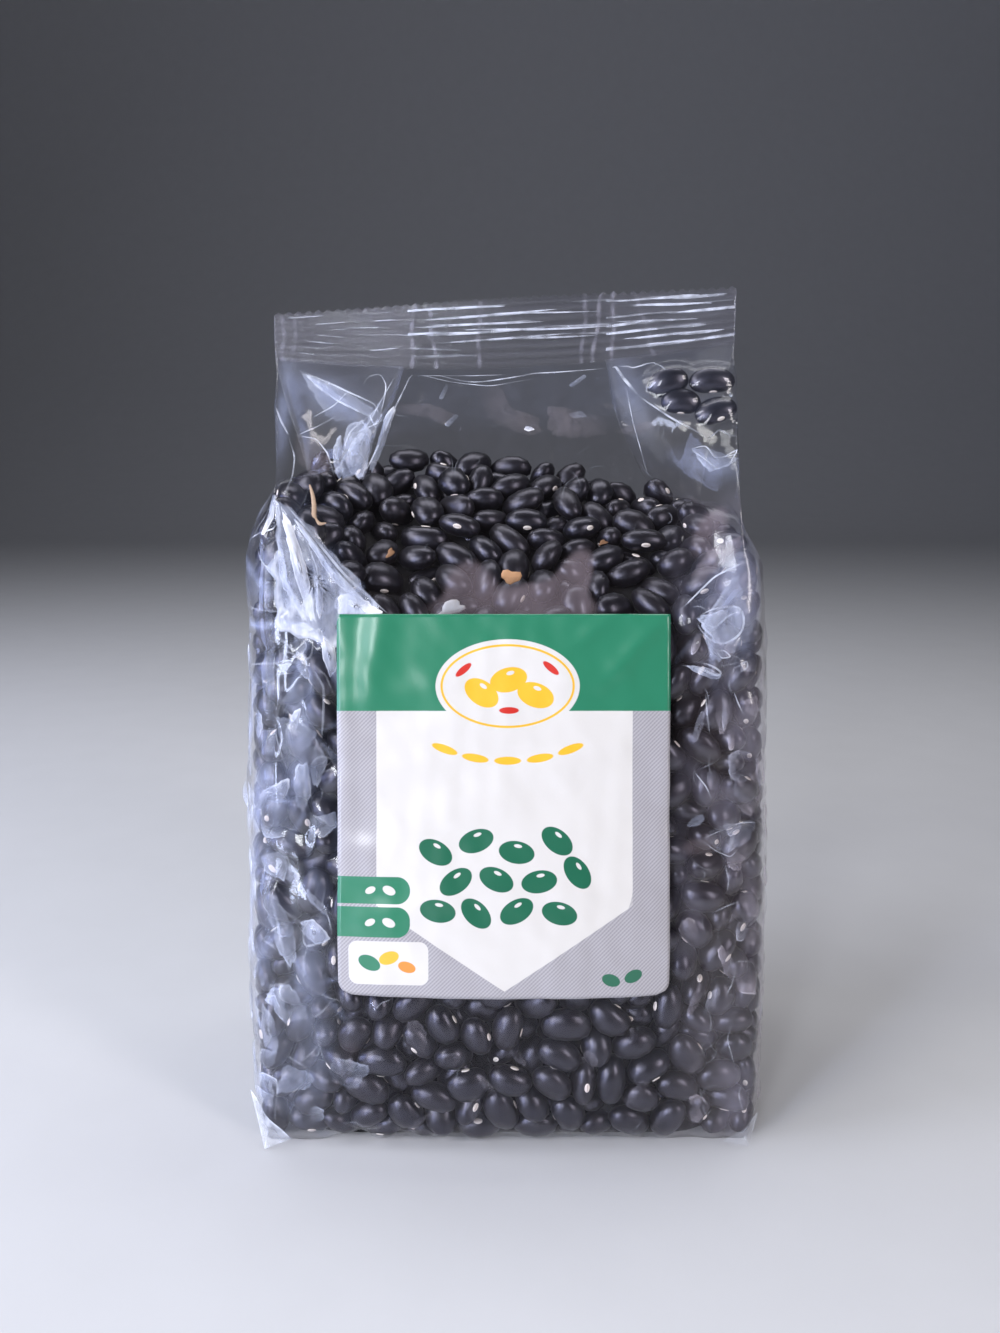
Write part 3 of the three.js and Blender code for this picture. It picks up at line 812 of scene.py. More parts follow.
# Flat facets with straight creases: random heights on a triangular lattice, joined by planes.
def facets(u, v, size, rng):
    table = rng.uniform(-1, 1, (61, 67))
    t = v / size * 1.1547
    s = u / size - 0.5 * t
    i, j = np.floor(s).astype(int), np.floor(t).astype(int)
    fs, ft = s - i, t - j

    def corner(di, dj):
        return table[(i + di) % table.shape[0], (j + dj) % table.shape[1]]
    near, far, right, up = corner(0, 0), corner(1, 1), corner(1, 0), corner(0, 1)
    low = near + fs * (right - near) + ft * (up - near)
    high = far + (1 - fs) * (up - far) + (1 - ft) * (right - far)
    return np.where(fs + ft < 1, low, high)


# Smooth random waves: a few sines in random directions.
def waves(u, v, size, rng, count=9):
    out = 0
    for _ in range(count):
        angle, phase = rng.uniform(0, 2 * math.pi, 2)
        k = 2 * math.pi / (size * rng.uniform(0.7, 1.5))
        out = out + np.sin(k * (u * math.cos(angle) + v * math.sin(angle)) + phase)
    return out / math.sqrt(count)


# Soft ovals on the front panel, added up: strength times exp(-distance squared).
def blobs(x, z, spots):
    out = 0 * x
    for cx, cz, rx, rz, turn, strength in spots:
        c, k = math.cos(math.radians(turn)), math.sin(math.radians(turn))
        a, b = (x - cx) * c + (z - cz) * k, (z - cz) * c - (x - cx) * k
        out = out + strength * np.exp(-(a / rx) ** 2 - (b / rz) ** 2)
    return out


# Folds that fan out from a point: narrow bright rays, from sines of the angle round it, that fade with
# the distance. They raise the film a little and are painted into its pale share as glare.
def fanRays(x, z, spec):
    out = 0 * x
    for cx, cz, radius, rays, strength in spec:
        angle, away = np.arctan2(z - cz, x - cx), np.hypot(x - cx, z - cz)
        wave = np.sin(rays * angle + cx) + 0.7 * np.sin(1.7 * rays * angle + cz)
        fade = np.exp(-(away / radius) ** 2)
        out = out + strength * np.clip(wave / 1.7, 0, 1) ** 3 * fade * smooth(0.5, 4, away)
    return out


# Column and row of the film's grid from a place round the bag and a height: 0 to 1 across the front
# from left to right, 1 to 2 the right side, 2 to 3 the back, -1 to 0 the left side.
def gridPlace(around, z):
    side = film["sideColumns"]
    knots = np.cumsum([-side, side, film["frontColumns"], side, film["backColumns"]])
    return np.interp(around, [-1, 0, 1, 2, 3], knots), z / gableTop * (film["rows"] - 1)


# Creases: sharp folds, each a low ridge along a line on the film, whose pale colour is a painted highlight.
creases = {
    "points": 24, "rise": 0.07, "seed": 31,
    "tent": 1.3, "tentWidth": 1.5,  # height for a crease 1 mm wide, and how far it spreads, in mm
    "bright": 1.2, "brightAbove": (126, 108), "dull": (0.5, 0.8),  # painted highlight strengths of the listed ones, left and right half
    "tones": (0.10, 0.45),  # painted highlight strengths of the scattered ones
    # listed ones: width in mm, then place round the bag and height of the points along it
    "named": [
        (0.50, (0.05, 178.7), (0.112, 173.7), (0.16, 171), (0.224, 167.8)),
        (0.40, (0.05, 178.7), (0.112, 176.4), (0.16, 174.2), (0.221, 171.5), (0.229, 167.8)),
        (0.32, (0.19, 175.5), (0.202, 178.2), (0.229, 179.1), (0.243, 176.4), (0.238, 172.4), (0.229, 168.7)),
        (0.30, (0.081, 167.8), (0.126, 171), (0.167, 175.1)),
        (0.28, (0.043, 162.9), (0.09, 165.6), (0.136, 168.7)),
        (0.26, (0.15, 163.3), (0.195, 165.6), (0.245, 168.3)),
        (0.42, (0.233, 171.5), (0.19, 167.4), (0.164, 165.1), (0.148, 161), (0.138, 154.7)),
        (0.38, (0.167, 164.7), (0.162, 160.1), (0.167, 155.2)),
        (0.30, (0.043, 163.3), (0.09, 162.9), (0.114, 159.7), (0.126, 154.7)),
        (0.40, (0.302, 180.5), (0.269, 172.8), (0.229, 163.3), (0.186, 154.3)),
        (0.26, (0.264, 179.1), (0.221, 170.1), (0.167, 161)),
        (0.45, (0.002, 169.6), (0.014, 166.5), (0.031, 163.3)),
        (0.35, (0.031, 162.9), (0.043, 158.8), (0.038, 154.7), (0.019, 149.7)),
        (0.75, (0.733, 180.5), (0.755, 176.4), (0.788, 171.5)),
        (0.42, (0.788, 171.5), (0.85, 166.5), (0.936, 161)),
        (0.36, (0.936, 161), (0.96, 162.4), (0.986, 161), (0.998, 161)),
        (0.30, (0.75, 180.5), (0.776, 178.2), (0.807, 178.7), (0.821, 180.5)),
        (0.26, (0.812, 180.5), (0.836, 177.3), (0.845, 175.1)),
        (0.34, (0.898, 159.2), (0.931, 159.7), (0.95, 157), (0.998, 157.4)),
        (0.30, (0.898, 159.2), (0.926, 157), (0.955, 154.7), (0.979, 155.6)),
        (0.24, (0.976, 155.2), (0.998, 158.3), (0.964, 157)),
        (0.22, (0.762, 174.2), (0.776, 166), (0.805, 154.3)),
        (0.32, (0.307, 180.5), (0.36, 178.7), (0.431, 176.9), (0.533, 178.2), (0.6, 179.6), (0.729, 180.5)),
        (0.22, (0.312, 179.1), (0.381, 177.3), (0.469, 176), (0.576, 177.8)),
        (0.22, (0.36, 180), (0.424, 178.7), (0.5, 179.1)),
        (0.60, (0.019, 148.4), (0.074, 141.6), (0.148, 132.5), (0.245, 124)),
        (0.50, (0.012, 148.8), (0.031, 140.2), (0.064, 130.7), (0.088, 122.6)),
        (0.42, (0.017, 144.8), (0.052, 136.2), (0.088, 122.6)),
        (0.34, (0.052, 143.4), (0.09, 133.9), (0.09, 122.6)),
        (0.34, (-0.045, 138.9), (0.019, 131.6), (0.083, 122.6)),
        (0.40, (-0.13, 138.9), (0, 150.2), (0.014, 148.4), (0.01, 142.5), (-0.23, 138.9)),
        (0.32, (-0.23, 125.3), (0.014, 124.9), (0.083, 122.1)),
        (0.40, (0.088, 122.1), (0.133, 119.9), (0.133, 109.9)),
        (0.42, (0.079, 114), (0.012, 113.5), (-0.23, 109.9)),
        (0.40, (0.079, 114), (0.033, 107.2), (0, 102.2)),
        (0.34, (0.012, 116.7), (0.043, 115.4), (0.079, 114)),
        (0.50, (-0.005, 123), (0.012, 118.5), (0.052, 115.8), (0.079, 114), (0.088, 121.7)),
        (0.40, (0.083, 113.5), (0.112, 110.8), (0.129, 105.9)),
        (0.55, (0.081, 113.1), (0.107, 108.6), (0.105, 101.8), (0.1, 96.4)),
        (0.50, (0.014, 103.6), (0.052, 100.4), (0.088, 98.2)),
        (0.36, (0, 102.2), (0, 97.3), (0.024, 89.6)),
        (0.55, (0.064, 91.4), (0.06, 86.4), (0.069, 81)),
        (0.38, (0.074, 90.5), (0.09, 92.7), (0.117, 92.7), (0.129, 90.5), (0.1, 89.1)),
        (0.40, (0.062, 79.6), (0.095, 79.2), (0.121, 77.4), (0.11, 74.6), (0.079, 76), (0.064, 78.7)),
        (0.40, (0.005, 72.4), (0.029, 69.2), (0.033, 65.6), (0.007, 64.7), (-0.005, 62.9)),
        (0.36, (0.005, 71.9), (0.017, 74.2), (0.031, 71.5)),
        (0.55, (-0.005, 62.9), (0, 58.4), (0.014, 51.6), (0.026, 46.6), (0.038, 43)),
        (0.36, (0, 60.2), (0.031, 57), (0.064, 55.2), (0.102, 53.8), (0.124, 52.5)),
        (0.50, (0.124, 52.5), (0.095, 51.1), (0.067, 50.2), (0.062, 52.9), (0.071, 54.7)),
        (0.36, (0.071, 50.2), (0.064, 47), (0.067, 43.9)),
        (0.36, (0.102, 61.1), (0.119, 57), (0.126, 52.9)),
        (0.50, (-0.005, 37.1), (-0.005, 40.3), (0.026, 41.2), (0.038, 43)),
        (0.40, (0.062, 44.8), (0.067, 42.1), (0.079, 40.7)),
        (0.44, (-0.005, 37.1), (-0.005, 30.3), (0, 25.8), (0.012, 25.3)),
        (0.36, (0.076, 33), (0.105, 35.3), (0.129, 38.5)),
        (0.34, (0.076, 33), (0.095, 29.4), (0.11, 23.1)),
        (0.40, (0.012, 25.3), (0.05, 22.6), (0.098, 19.5)),
        (0.36, (0, 22.2), (0.012, 14), (0.012, 5.4)),
        (0.30, (-0.06, 90.5), (-0.03, 81.9), (-0.005, 73.3)),
        (0.28, (-0.025, 59.3), (-0.05, 51.6), (-0.03, 42.5)),
        (0.40, (1.005, 135.7), (0.943, 132.5), (0.867, 124.9)),
        (0.50, (0.898, 123), (0.931, 125.3), (0.995, 126.2), (1, 123), (1, 119.9), (0.952, 117.2),
         (0.919, 119.4), (0.898, 123)),
        (0.40, (0.91, 122.6), (0.94, 121.2), (0.971, 124), (0.993, 124.9)),
        (0.46, (0.871, 113.1), (0.912, 112.2), (0.952, 110.4), (0.96, 111.3), (0.933, 113.1), (0.893, 114)),
        (0.36, (0.943, 116.3), (0.96, 116.3), (0.974, 114.9), (0.955, 114.5), (0.943, 116.3)),
        (0.34, (0.979, 112.2), (0.998, 113.1), (1.005, 114), (1.005, 112.2), (0.986, 110.8)),
        (0.30, (0.924, 106.8), (0.926, 102.7), (0.933, 97.7)),
        (0.26, (0.983, 107.2), (0.995, 104), (1.005, 101.3)),
        (0.34, (0.931, 57.5), (0.967, 58.8), (1, 59.7)),
        (0.30, (0.967, 68.3), (0.974, 64.7), (0.971, 62)),
        (0.36, (0.962, 37.5), (0.981, 40.7), (0.99, 44.8)),
        (0.24, (0.912, 74.2), (0.96, 76), (1, 77.4), (1.085, 75.5)),
        (0.24, (0.912, 74.2), (0.945, 71.5), (0.979, 69.7), (1.005, 72.8)),
        (0.30, (0.898, 89.6), (0.924, 86), (0.938, 82.8)),
        (0.28, (0.986, 34.4), (0.969, 27.1), (0.99, 18.1)),
        (0.24, (0.079, 40.7), (0.121, 38.5), (0.152, 38)),
        (0.22, (0.212, 36.2), (0.233, 38.5), (0.255, 39.4)),
        (0.26, (0.126, 2.3), (0.181, 6.3), (0.21, 5.4), (0.231, 1.4)),
    ],
    # scattered ones: how many, from and to round the bag, heights in mm, length, width
    "scattered": [
        (90, (-0.75, 0.0), (6, 146), 10.0, 0.26),
        (46, (0.0, 0.10), (6, 150), 8.0, 0.24),
        (56, (0.90, 1.0), (6, 136), 7.0, 0.24),
        (60, (1.0, 1.8), (6, 132), 9.0, 0.22),
        (22, (0.1, 0.9), (130, 178), 7.0, 0.14),
        (120, (2.0, 3.0), (6, 172), 11.0, 0.24),
        (22, (0.15, 0.85), (3, 38), 5.0, 0.16),
    ],
}


# Soft ridges in the film along the listed creases: height times exp(-distance / width) from the
# nearest stretch of each. Every third one is a shallow groove, so that neighbours tilt the film both
# ways.
def creaseTents(shape):
    rows, columns = shape
    column, row = np.meshgrid(np.arange(columns), np.arange(rows))
    left = columns - film["sideColumns"]
    u, v = np.where(column >= left, column - columns, column) * perColumn, row * perRow
    out = np.zeros(shape)
    for index, (width, *stops) in enumerate(creases["named"]):
        c, r = gridPlace(*np.array(stops, float).T)
        x, y = c * perColumn, r * perRow
        nearest = np.full(shape, 99.0)
        for ax, ay, bx, by in zip(x, y, x[1:], y[1:]):
            run = max((bx - ax) ** 2 + (by - ay) ** 2, 1e-6)
            t = np.clip(((u - ax) * (bx - ax) + (v - ay) * (by - ay)) / run, 0, 1)
            nearest = np.minimum(nearest, np.hypot(u - ax - t * (bx - ax), v - ay - t * (by - ay)))
        sign = 1.0 if index % 3 else -0.5
        out += sign * creases["tent"] * width * np.exp(-nearest / creases["tentWidth"])
    return out


# One pass that rounds a line: each inner point moves to the mean of itself and its neighbours.
def roundLine(line):
    line[1:-1] = (line[:-2] + 2 * line[1:-1] + line[2:]) / 4


# The film's shape on its grid, with the values that its material reads.
def shapeFilm(spec):
    rng = np.random.default_rng(spec["seed"])
    z = gableTop * np.linspace(0, 1, spec["rows"])
    base = ringPoints(z, spec)
    normal = gridNormals(base)
    u, v = gridPlaces(base)
    x, y, height = base[..., 0], base[..., 1], base[..., 2]
    depth = beanDepth(base.reshape(-1, 3), normal.reshape(-1, 3), allCentre, allAxes, allSizes, spec["reach"])
    depth = depth.reshape(x.shape)
    sideways = smooth(0.35, 0.8, np.abs(normal[..., 0]))
    sag = spec["sagFront"] + (spec["sagSide"] - spec["sagFront"]) * sideways
    between = sag * (1 - np.exp(-np.maximum(depth, 0) / sag))
    dip = np.where(depth > 0, between, depth * (1 - 0.4 * sideways))
    gable = smooth(126, 158, height)
    strip = smooth(33, 48, np.abs(x)) * (1 - gable)
    leftSide, rightSide = strip * (x < 0), strip * (x > 0)
    behind = smooth(0, 10, y)
    ahead = 1 - 0.6 * smooth(-14, 8, y)
    low = 1 - smooth(40, 100, height)
    waveSize, waveHeight = spec["bend"]
    bent, bent2 = waves(u, v, waveSize, rng) * waveHeight, waves(u, v, waveSize, rng) * waveHeight
    bigSize, middleSize, smallSize = spec["facetSizes"]
    big = facets(u + bent, v + bent2, bigSize, rng)
    middle = facets(u * 1.3 - bent2, v * 0.65 + bent, middleSize, rng)
    small = facets(u * 1.2 + bent2, v * 0.7 - bent, smallSize, rng)
    patch = np.clip(0.35 + 1.6 * facets(u * 1.3 - bent, v * 0.6 + bent2, spec["patchSize"], rng), 0, 1.5)
    (leftX, leftZ, leftSlope), (rightX, rightZ, rightSlope) = spec["shoulders"]
    edge = np.where(x < 0, leftZ + (x - leftX) * leftSlope, rightZ + (x - rightX) * rightSlope)
    below = edge - height
    fan = fanRays(x, height, spec["fans"]) * (normal[..., 1] < 0) * smooth(-0.8, 0.8, below)
    held = smooth(0, 8, height) * (1 - 0.85 * smooth(170, 181, height))
    dip = np.where(depth > 0, dip * (1 - 0.75 * leftSide - 0.4 * rightSide), dip)
    loose = 0.10 + 1.5 * leftSide + 0.95 * rightSide + 0.5 * gable + 0.35 * behind * (1 - gable)
    rise = held * loose * (0.7 * big + 0.7 * middle + 0.26 * small)
    rise = rise + held * (creaseTents(x.shape) + 0.5 * fan)
    rise = np.where(depth < 3, np.maximum(rise, -0.05) + 0.25 * loose, rise)
    for _ in range(2):  # rounds the folds over about a millimetre
        rise = (2 * rise + np.roll(rise, 1, 1) + np.roll(rise, -1, 1)) / 4
        roundLine(rise)
    points = base + normal * (spec["lift"] - dip + rise)[..., None]
    points[..., 2] = np.maximum(points[..., 2], 0.05)
    facing = normal[..., 1] < 0
    tanReflectSpots = smooth(0.35, 0.6, blobs(x, height, spec["tan"])) * facing
    # The pale share is painted glare: bluish on the shoulders, on the left strip and along the fans' rays,
    # with a faint haze low down. The brown share is painted brownish reflection on the right strip and above
    # the label, over a thin even haze.
    values = {
        "shine": 0.018 + 0.045 * leftSide + 0.03 * rightSide + 0.01 * gable + 0.02 * behind,
        "strip": np.clip(leftSide + rightSide + 0.3 * gable, 0, 1),
        "milkyGlare": (blobs(x, height, spec["milkyGlare"]) * facing + 0.45 * fan
                  + 0.018 * smooth(162, 170, height) * facing + 0.035 * rightSide * patch * ahead
                  + leftSide * ahead * (0.022 + 0.10 * patch ** 1.4) * (0.45 + 0.55 * smooth(20, 60, height))
                  + 0.005 * facing * low),
        "tan": (0.15 * tanReflectSpots * (0.5 + 0.5 * patch) + 0.085 * rightSide * ahead * (0.4 + 0.6 * patch)
                + 0.002 + 0.003 * (1 - gable) + 0.004 * low),
    }
    place = np.stack([u, v, np.zeros_like(u)], -1)
    return points, gridNormals(points), values, place


# The base: the lowest ring drawn in to the middle in three steps.
def makeFilm(points, values, place):
    rows, columns = points.shape[:2]
    ring = points[0]
    middle = np.array([0.0, ring[:, 1].mean(), 0.25])
    start, below = rows * columns, np.arange(columns)
    quads = [gridQuads(rows, columns, closed=True)]
    inner = [middle + (ring - middle) * share for share in (0.94, 0.6, 0.25)]
    for step in range(3):
        above = start + step * columns + np.arange(columns)
        quads.append(np.stack([np.roll(below, -1), below, above, np.roll(above, -1)], 1))
        below = above
    tris = fanTris(start + 2 * columns, columns, start + 3 * columns)[:, ::-1]
    extra = 3 * columns + 1
    every = np.concatenate([points.reshape(-1, 3)] + inner + [middle[None]])
    data = {key: np.concatenate([value.ravel(), np.zeros(extra)]) for key, value in values.items()}
    data["place"] = np.concatenate([place.reshape(-1, 3), np.zeros((extra, 3))])
    return makeMesh("film", every, np.concatenate(quads), tris, data)


filmGrid, filmNormals, filmValues, filmPlaces = shapeFilm(film)
filmPiece = makeFilm(filmGrid, filmValues, filmPlaces)
report("film")


# Place and normal on the film at a column and a row of its grid, both fractional.
def onFilm(column, row):
    rows, columns = filmGrid.shape[:2]
    row = np.clip(row, 0, rows - 1.001)
    i, j = np.floor(row).astype(int), np.floor(column).astype(int)
    a, b = (row - i)[..., None], (column - j)[..., None]
    out = []
    for grid in (filmGrid, filmNormals):
        k, m = j % columns, (j + 1) % columns
        out.append((grid[i, k] * (1 - b) + grid[i, m] * b) * (1 - a)
                   + (grid[i + 1, k] * (1 - b) + grid[i + 1, m] * b) * a)
    return out


# Ridges with a tent section: points along each line, an edge on either side and the crest between.
def ridgeLines(column, row, width, rise):
    place, normal = onFilm(column % filmGrid.shape[1], row)
    normal /= np.maximum(np.linalg.norm(normal, axis=-1, keepdims=True), 1e-9)
    along = np.gradient(place, axis=1)
    across = np.cross(along, normal)
    across /= np.maximum(np.linalg.norm(across, axis=-1, keepdims=True), 1e-9)
    t = np.linspace(0, 1, place.shape[1])
    taper = (np.sin(math.pi * t) ** 0.5 * 0.95 + 0.05)[None, :, None]
    half = (0.5 * width)[:, None, None] * taper
    return np.stack([place + across * half + normal * 0.02, place + normal * (0.02 + rise * taper),
                     place - across * half + normal * 0.02], 2)


# Creases: the listed ones follow their points, the scattered ones run mostly upwards with a slight
# bend.
def makeCreases(spec):
    rng = np.random.default_rng(spec["seed"])
    m = spec["points"]
    t = np.linspace(0, 1, m)
    columns, rows, widths = [], [], []
    for width, *stops in spec["named"]:
        stops = np.array(stops, float)
        gaps = np.linalg.norm(np.diff(stops, axis=0) * [film["frontWidth"], 1], axis=1)
        at = np.concatenate([[0], np.cumsum(gaps)])
        x = np.interp(t * at[-1], at, stops[:, 0])
        z = np.interp(t * at[-1], at, stops[:, 1])
        for _ in range(2):  # rounds the corners a little
            roundLine(x)
            roundLine(z)
        c, r = gridPlace(x, z)
        columns.append(np.unwrap(c, period=filmGrid.shape[1]))
        rows.append(r)
        widths.append(width)
    columns, rows, widths = [np.array(columns)], [np.array(rows)], [np.array(widths)]
    for count, (c0, c1), (z0, z1), length, width in spec["scattered"]:
        c, _ = gridPlace(rng.uniform(c0, c1, (count, 1)), 0)
        z = rng.uniform(z0, z1, (count, 1))
        angle = rng.normal(math.pi / 2, 0.7, (count, 1)) + rng.normal(0, 1.6, (count, 1)) * (t - 0.5)
        size = length * rng.uniform(0.35, 1.3, (count, 1))
        run = np.cumsum(np.cos(angle), 1) / m * size
        climb = np.cumsum(np.sin(angle), 1) / m * size
        columns.append(c + run / 0.85)
        rows.append((z + climb) / perRow)
        widths.append(width * rng.uniform(0.5, 1.3, count))
    column, row, width = np.concatenate(columns), np.concatenate(rows), np.concatenate(widths)
    row = np.clip(row, 1, film["rows"] - 3)
    strips = ridgeLines(column, row, width, spec["rise"])
    count, size = len(strips), 3 * m
    tone = np.repeat(rng.uniform(*spec["tones"], count), size)
    middles = np.array([np.mean(stops, axis=0) for _, *stops in spec["named"]])
    left = middles[:, 0] < 0.5
    bright = middles[:, 1] > np.where(left, *spec["brightAbove"])
    strong = np.where(bright, spec["bright"], np.where(left, *spec["dull"]))
    tone[:len(middles) * size] = np.repeat(strong, size)
    tone *= np.tile(np.repeat(np.sin(math.pi * np.clip(t, 0.02, 0.98)) ** 0.5, 3), count)
    quads = repeatFaces(gridQuads(m, 3)[:, ::-1], count, size)
    return makeMesh("filmCreaseGlints", strips, quads, None, {"tone": tone})


creasePiece = makeCreases(creases)
report("creases")


# Panes: folds of film whose colour is painted glare, each catching the light as a whole. Each is laid on the
# film as rings drawn from its middle out to its outline, slightly domed, painted brighter to one side and
# along its rim. Some are listed one by one, the rest are long facets scattered over the crumpled strips.
def glarePaneOutlines(spec, rng, corners=6):
    out = []
    for warmth, name in ((0.0, "glarePanes"), (1.0, "warmGlarePanes")):
        for strength, outline in spec[name]:
            x, z = np.array(outline, float).T
            around = ((x - sealShift(z)) / measure("creaseX", z) + 1) / 2
            column, row = gridPlace(around, z - gableLift(x, z))
            out.append((strength, warmth, 0.5, np.stack([column * perColumn, row * perRow], 1)))
    for number, around, height, strength, warmth in spec["facetGlarePanes"]:
        for _ in range(number):
            column, row = gridPlace(rng.uniform(*around), rng.uniform(*height))
            angle = 2 * math.pi * (np.arange(corners) + rng.uniform(-0.35, 0.35, corners)) / corners
            size, lean = rng.uniform(0.55, 1.0, corners), rng.normal(0, 0.45)
            across = np.cos(angle) * size * rng.uniform(1.0, 3.0)
            along = np.sin(angle) * size * rng.uniform(2.5, 7.5)
            u = across * math.cos(lean) + along * math.sin(lean) + column * perColumn
            v = along * math.cos(lean) - across * math.sin(lean) + row * perRow
            out.append((rng.uniform(*strength), warmth, 1.0, np.stack([u, v], 1)))
    return out


def makeGlarePanes(spec, count=40):
    rng = np.random.default_rng(spec["paneSeed"])
    share = np.array([0.12, 0.35, 0.6, 0.82, 0.94, 1.0])[:, None]
    sheets, tones, warmths = [], [], []
    for strength, warmth, fade, corners in glarePaneOutlines(spec, rng):
        outline = np.concatenate([corners, corners[:1]])
        at = np.concatenate([[0], np.cumsum(np.linalg.norm(np.diff(outline, axis=0), axis=1))])
        t = np.linspace(0, at[-1], count + 1)[:-1]
        rim = np.stack([np.interp(t, at, outline[:, 0]), np.interp(t, at, outline[:, 1])], 1)
        for _ in range(3):  # rounds the corners
            rim = (np.roll(rim, 1, 0) + 2 * rim + np.roll(rim, -1, 0)) / 4
        wobble = 1 + 0.05 * np.sin(t * 1.7 + strength * 9) + 0.04 * np.sin(t * 3.1)
        off = (rim - rim.mean(0)) * wobble[:, None]
        size = np.abs(off).max()
        column = (rim[:, 0].mean() + off[:, 0] * share) / perColumn
        row = (rim[:, 1].mean() + off[:, 1] * share) / perRow
        place, normal = onFilm(column % filmGrid.shape[1], np.clip(row, 1.5, spec["rows"] - 2))
        turn = rng.uniform(0, 2 * math.pi)
        slant = (off[:, 0] * math.cos(turn) + off[:, 1] * math.sin(turn)) * share / size
        lift = 0.12 + 0.10 * min(size, 8.0) * (1 - share ** 2) * (1 + slant)
        sheets.append((place + normal * lift[..., None]).reshape(-1, 3))
        sheets.append(sheets[-1][:count].mean(0, keepdims=True))
        # The tone is painted glare: brighter to one side, brightest in the ring next to the rim on the cool
        # panes, fading to the rim on the brownish ones.
        rimLight = 1 - 0.65 * share ** 2 if warmth == 1.0 else np.where(share == 0.94, 1.5, 1.0)
        tone = strength * np.clip(0.85 - 0.2 * fade + fade * slant, 0.04, 1.4) * rimLight
        tones.append(np.append(tone.ravel(), tone[0].mean()))
        warmths.append(np.full(tone.size + 1, warmth))
    copies, size = len(tones), len(tones[0])
    quads = repeatFaces(gridQuads(len(share), count, closed=True), copies, size)
    tris = repeatFaces(fanTris(0, count, size - 1), copies, size)
    values = {"tone": np.concatenate(tones), "warmth": np.concatenate(warmths)}
    return makeMesh("filmGlarePanes", np.concatenate(sheets), quads, tris, values)


glarePanePiece = makeGlarePanes(film)
report("glarePanes")

# The crimped seal: a thin slab with level ridges, upright weld lines and a zigzag cut top.
crimp = {
    "teeth": 47, "toothDepth": 0.8, "rows": 48, "thickness": 0.7, "seed": 77,
    "ridges": 8, "ridgeHeight": 0.22,
    # upright lines: place along the seal, strength, lean
    "welds": [(0.018, 0.7, 0.2), (0.043, 0.5, 0.6), (0.300, 1.0, 0.3), (0.343, 0.9, -0.9), (0.445, 0.7, 0.3),
              (0.672, 0.6, 0.5), (0.700, 1.0, 0.9), (0.735, 0.8, 0.0), (0.805, 0.45, -2.4)],
    # long folds painted as bright highlights: how many, from and to along the seal, length as a share, width
    # in mm
    "streaks": [(18, (0.04, 0.29), 0.10, 0.22), (26, (0.30, 0.72), 0.28, 0.55),
                (38, (0.73, 0.99), 0.19, 0.60)],
}


# Place on the seal's front at s along it and t up it, with its level ridges and its welds.
def onSeal(s, t, spec, side=-1.0):
    x = seal["centre"] + seal["halfWidth"] * (2 * s - 1) + 0 * t
    low, high = alongSeal(seal["bottom"], s), alongSeal(seal["top"], s)
    tooth = np.abs(((s * spec["teeth"]) % 1) - 0.5) * 2
    z = low - 0.4 + (high - low + 0.4) * t - spec["toothDepth"] * tooth * smooth(0.86, 1.0, t)
    bow = seal["wave"] * np.sin(2 * math.pi * (1.3 * s + 0.1)) * t
    line = np.sin(math.pi * spec["ridges"] * t) ** 2 * smooth(0.02, 0.1, t) * (1 - smooth(0.9, 0.98, t))
    relief = spec["ridgeHeight"] * line * (0.6 + 0.4 * np.sin(21 * s + 3 * t))
    weld = 0 * x
    for place, strength, lean in spec["welds"]:
        off = (s - place) * 2 * seal["halfWidth"] - lean * (t - 0.5) * 2 + 0.25 * np.sin(9 * t + 9 * place)
        weld = weld + strength * np.exp(-(off / 0.38) ** 2) * (0.65 + 0.35 * np.sin(23 * t + 40 * place))
    y = seal["y"] + bow + side * (spec["thickness"] / 2 + 0.2 * weld) - relief
    return np.stack([x, y, z], -1), line + 0 * s, weld


# The seal's slab: its front and back faces joined into rings.
def makeSeal(spec):
    s = np.linspace(0, 1, spec["teeth"] * 6 + 1)[None, :]
    t = np.linspace(0, 1, spec["rows"] + 1)[:, None]
    front, line, weld = onSeal(s, t, spec)
    back, _, _ = onSeal(s, t, spec, 1.0)
    blocks = 0.5 * (1 - smooth(0.285, 0.305, s)) + 0.30 * smooth(0.69, 0.73, s) + 0 * t
    ring = np.concatenate([front, back[:, ::-1]], 1)
    values = {"ridge": line, "weld": weld, "layers": blocks}
    values = {key: np.concatenate([value, value[:, ::-1]], 1).ravel() for key, value in values.items()}
    return makeMesh("sealFin", ring, slabQuads(spec["rows"] + 1, s.size), None, values)


# The seal's long folds: tent ridges that run almost level on its front, painted pale as highlights.
def makeStreaks(spec, m=24):
    rng = np.random.default_rng(spec["seed"])
    strips, tones = [], []
    t = np.linspace(0, 1, m)
    for count, (s0, s1), length, width in spec["streaks"]:
        start = rng.uniform(s0, s1, (count, 1))
        size = length * rng.uniform(0.35, 1.1, (count, 1))
        s = np.clip(start + size * (t - 0.5), s0 - 0.01, min(s1 + 0.01, 0.998))
        level = (rng.integers(1, spec["ridges"], (count, 1)) + 0.5) / (spec["ridges"] + 0.6)
        lean = rng.normal(0, 0.03, (count, 1)) * (t - 0.5)
        up = np.clip(level + lean + 0.012 * np.sin(9 * s + start * 30), 0.03, 0.94)
        place, _, _ = onSeal(s, up, spec)
        place[..., 1] -= 0.05
        taper = np.sin(math.pi * t) ** 0.6
        half = 0.5 * width * rng.uniform(0.4, 1.2, (count, 1)) * taper
        edge = np.zeros_like(place)
        edge[..., 2] = half
        crest = place.copy()
        crest[..., 1] -= 0.10 * taper
        strips.append(np.stack([place + edge, crest, place - edge], 2))
        tones.append(np.repeat(rng.uniform(0.3, 1.5, count), m * 3))
    strips = np.concatenate(strips)
    quads = repeatFaces(gridQuads(m, 3), len(strips), 3 * m)
    return makeMesh("sealFoldGlints", strips, quads, None, {"tone": np.concatenate(tones)})


sealPiece = makeSeal(crimp)
streakPiece = makeStreaks(crimp)
report("seal")

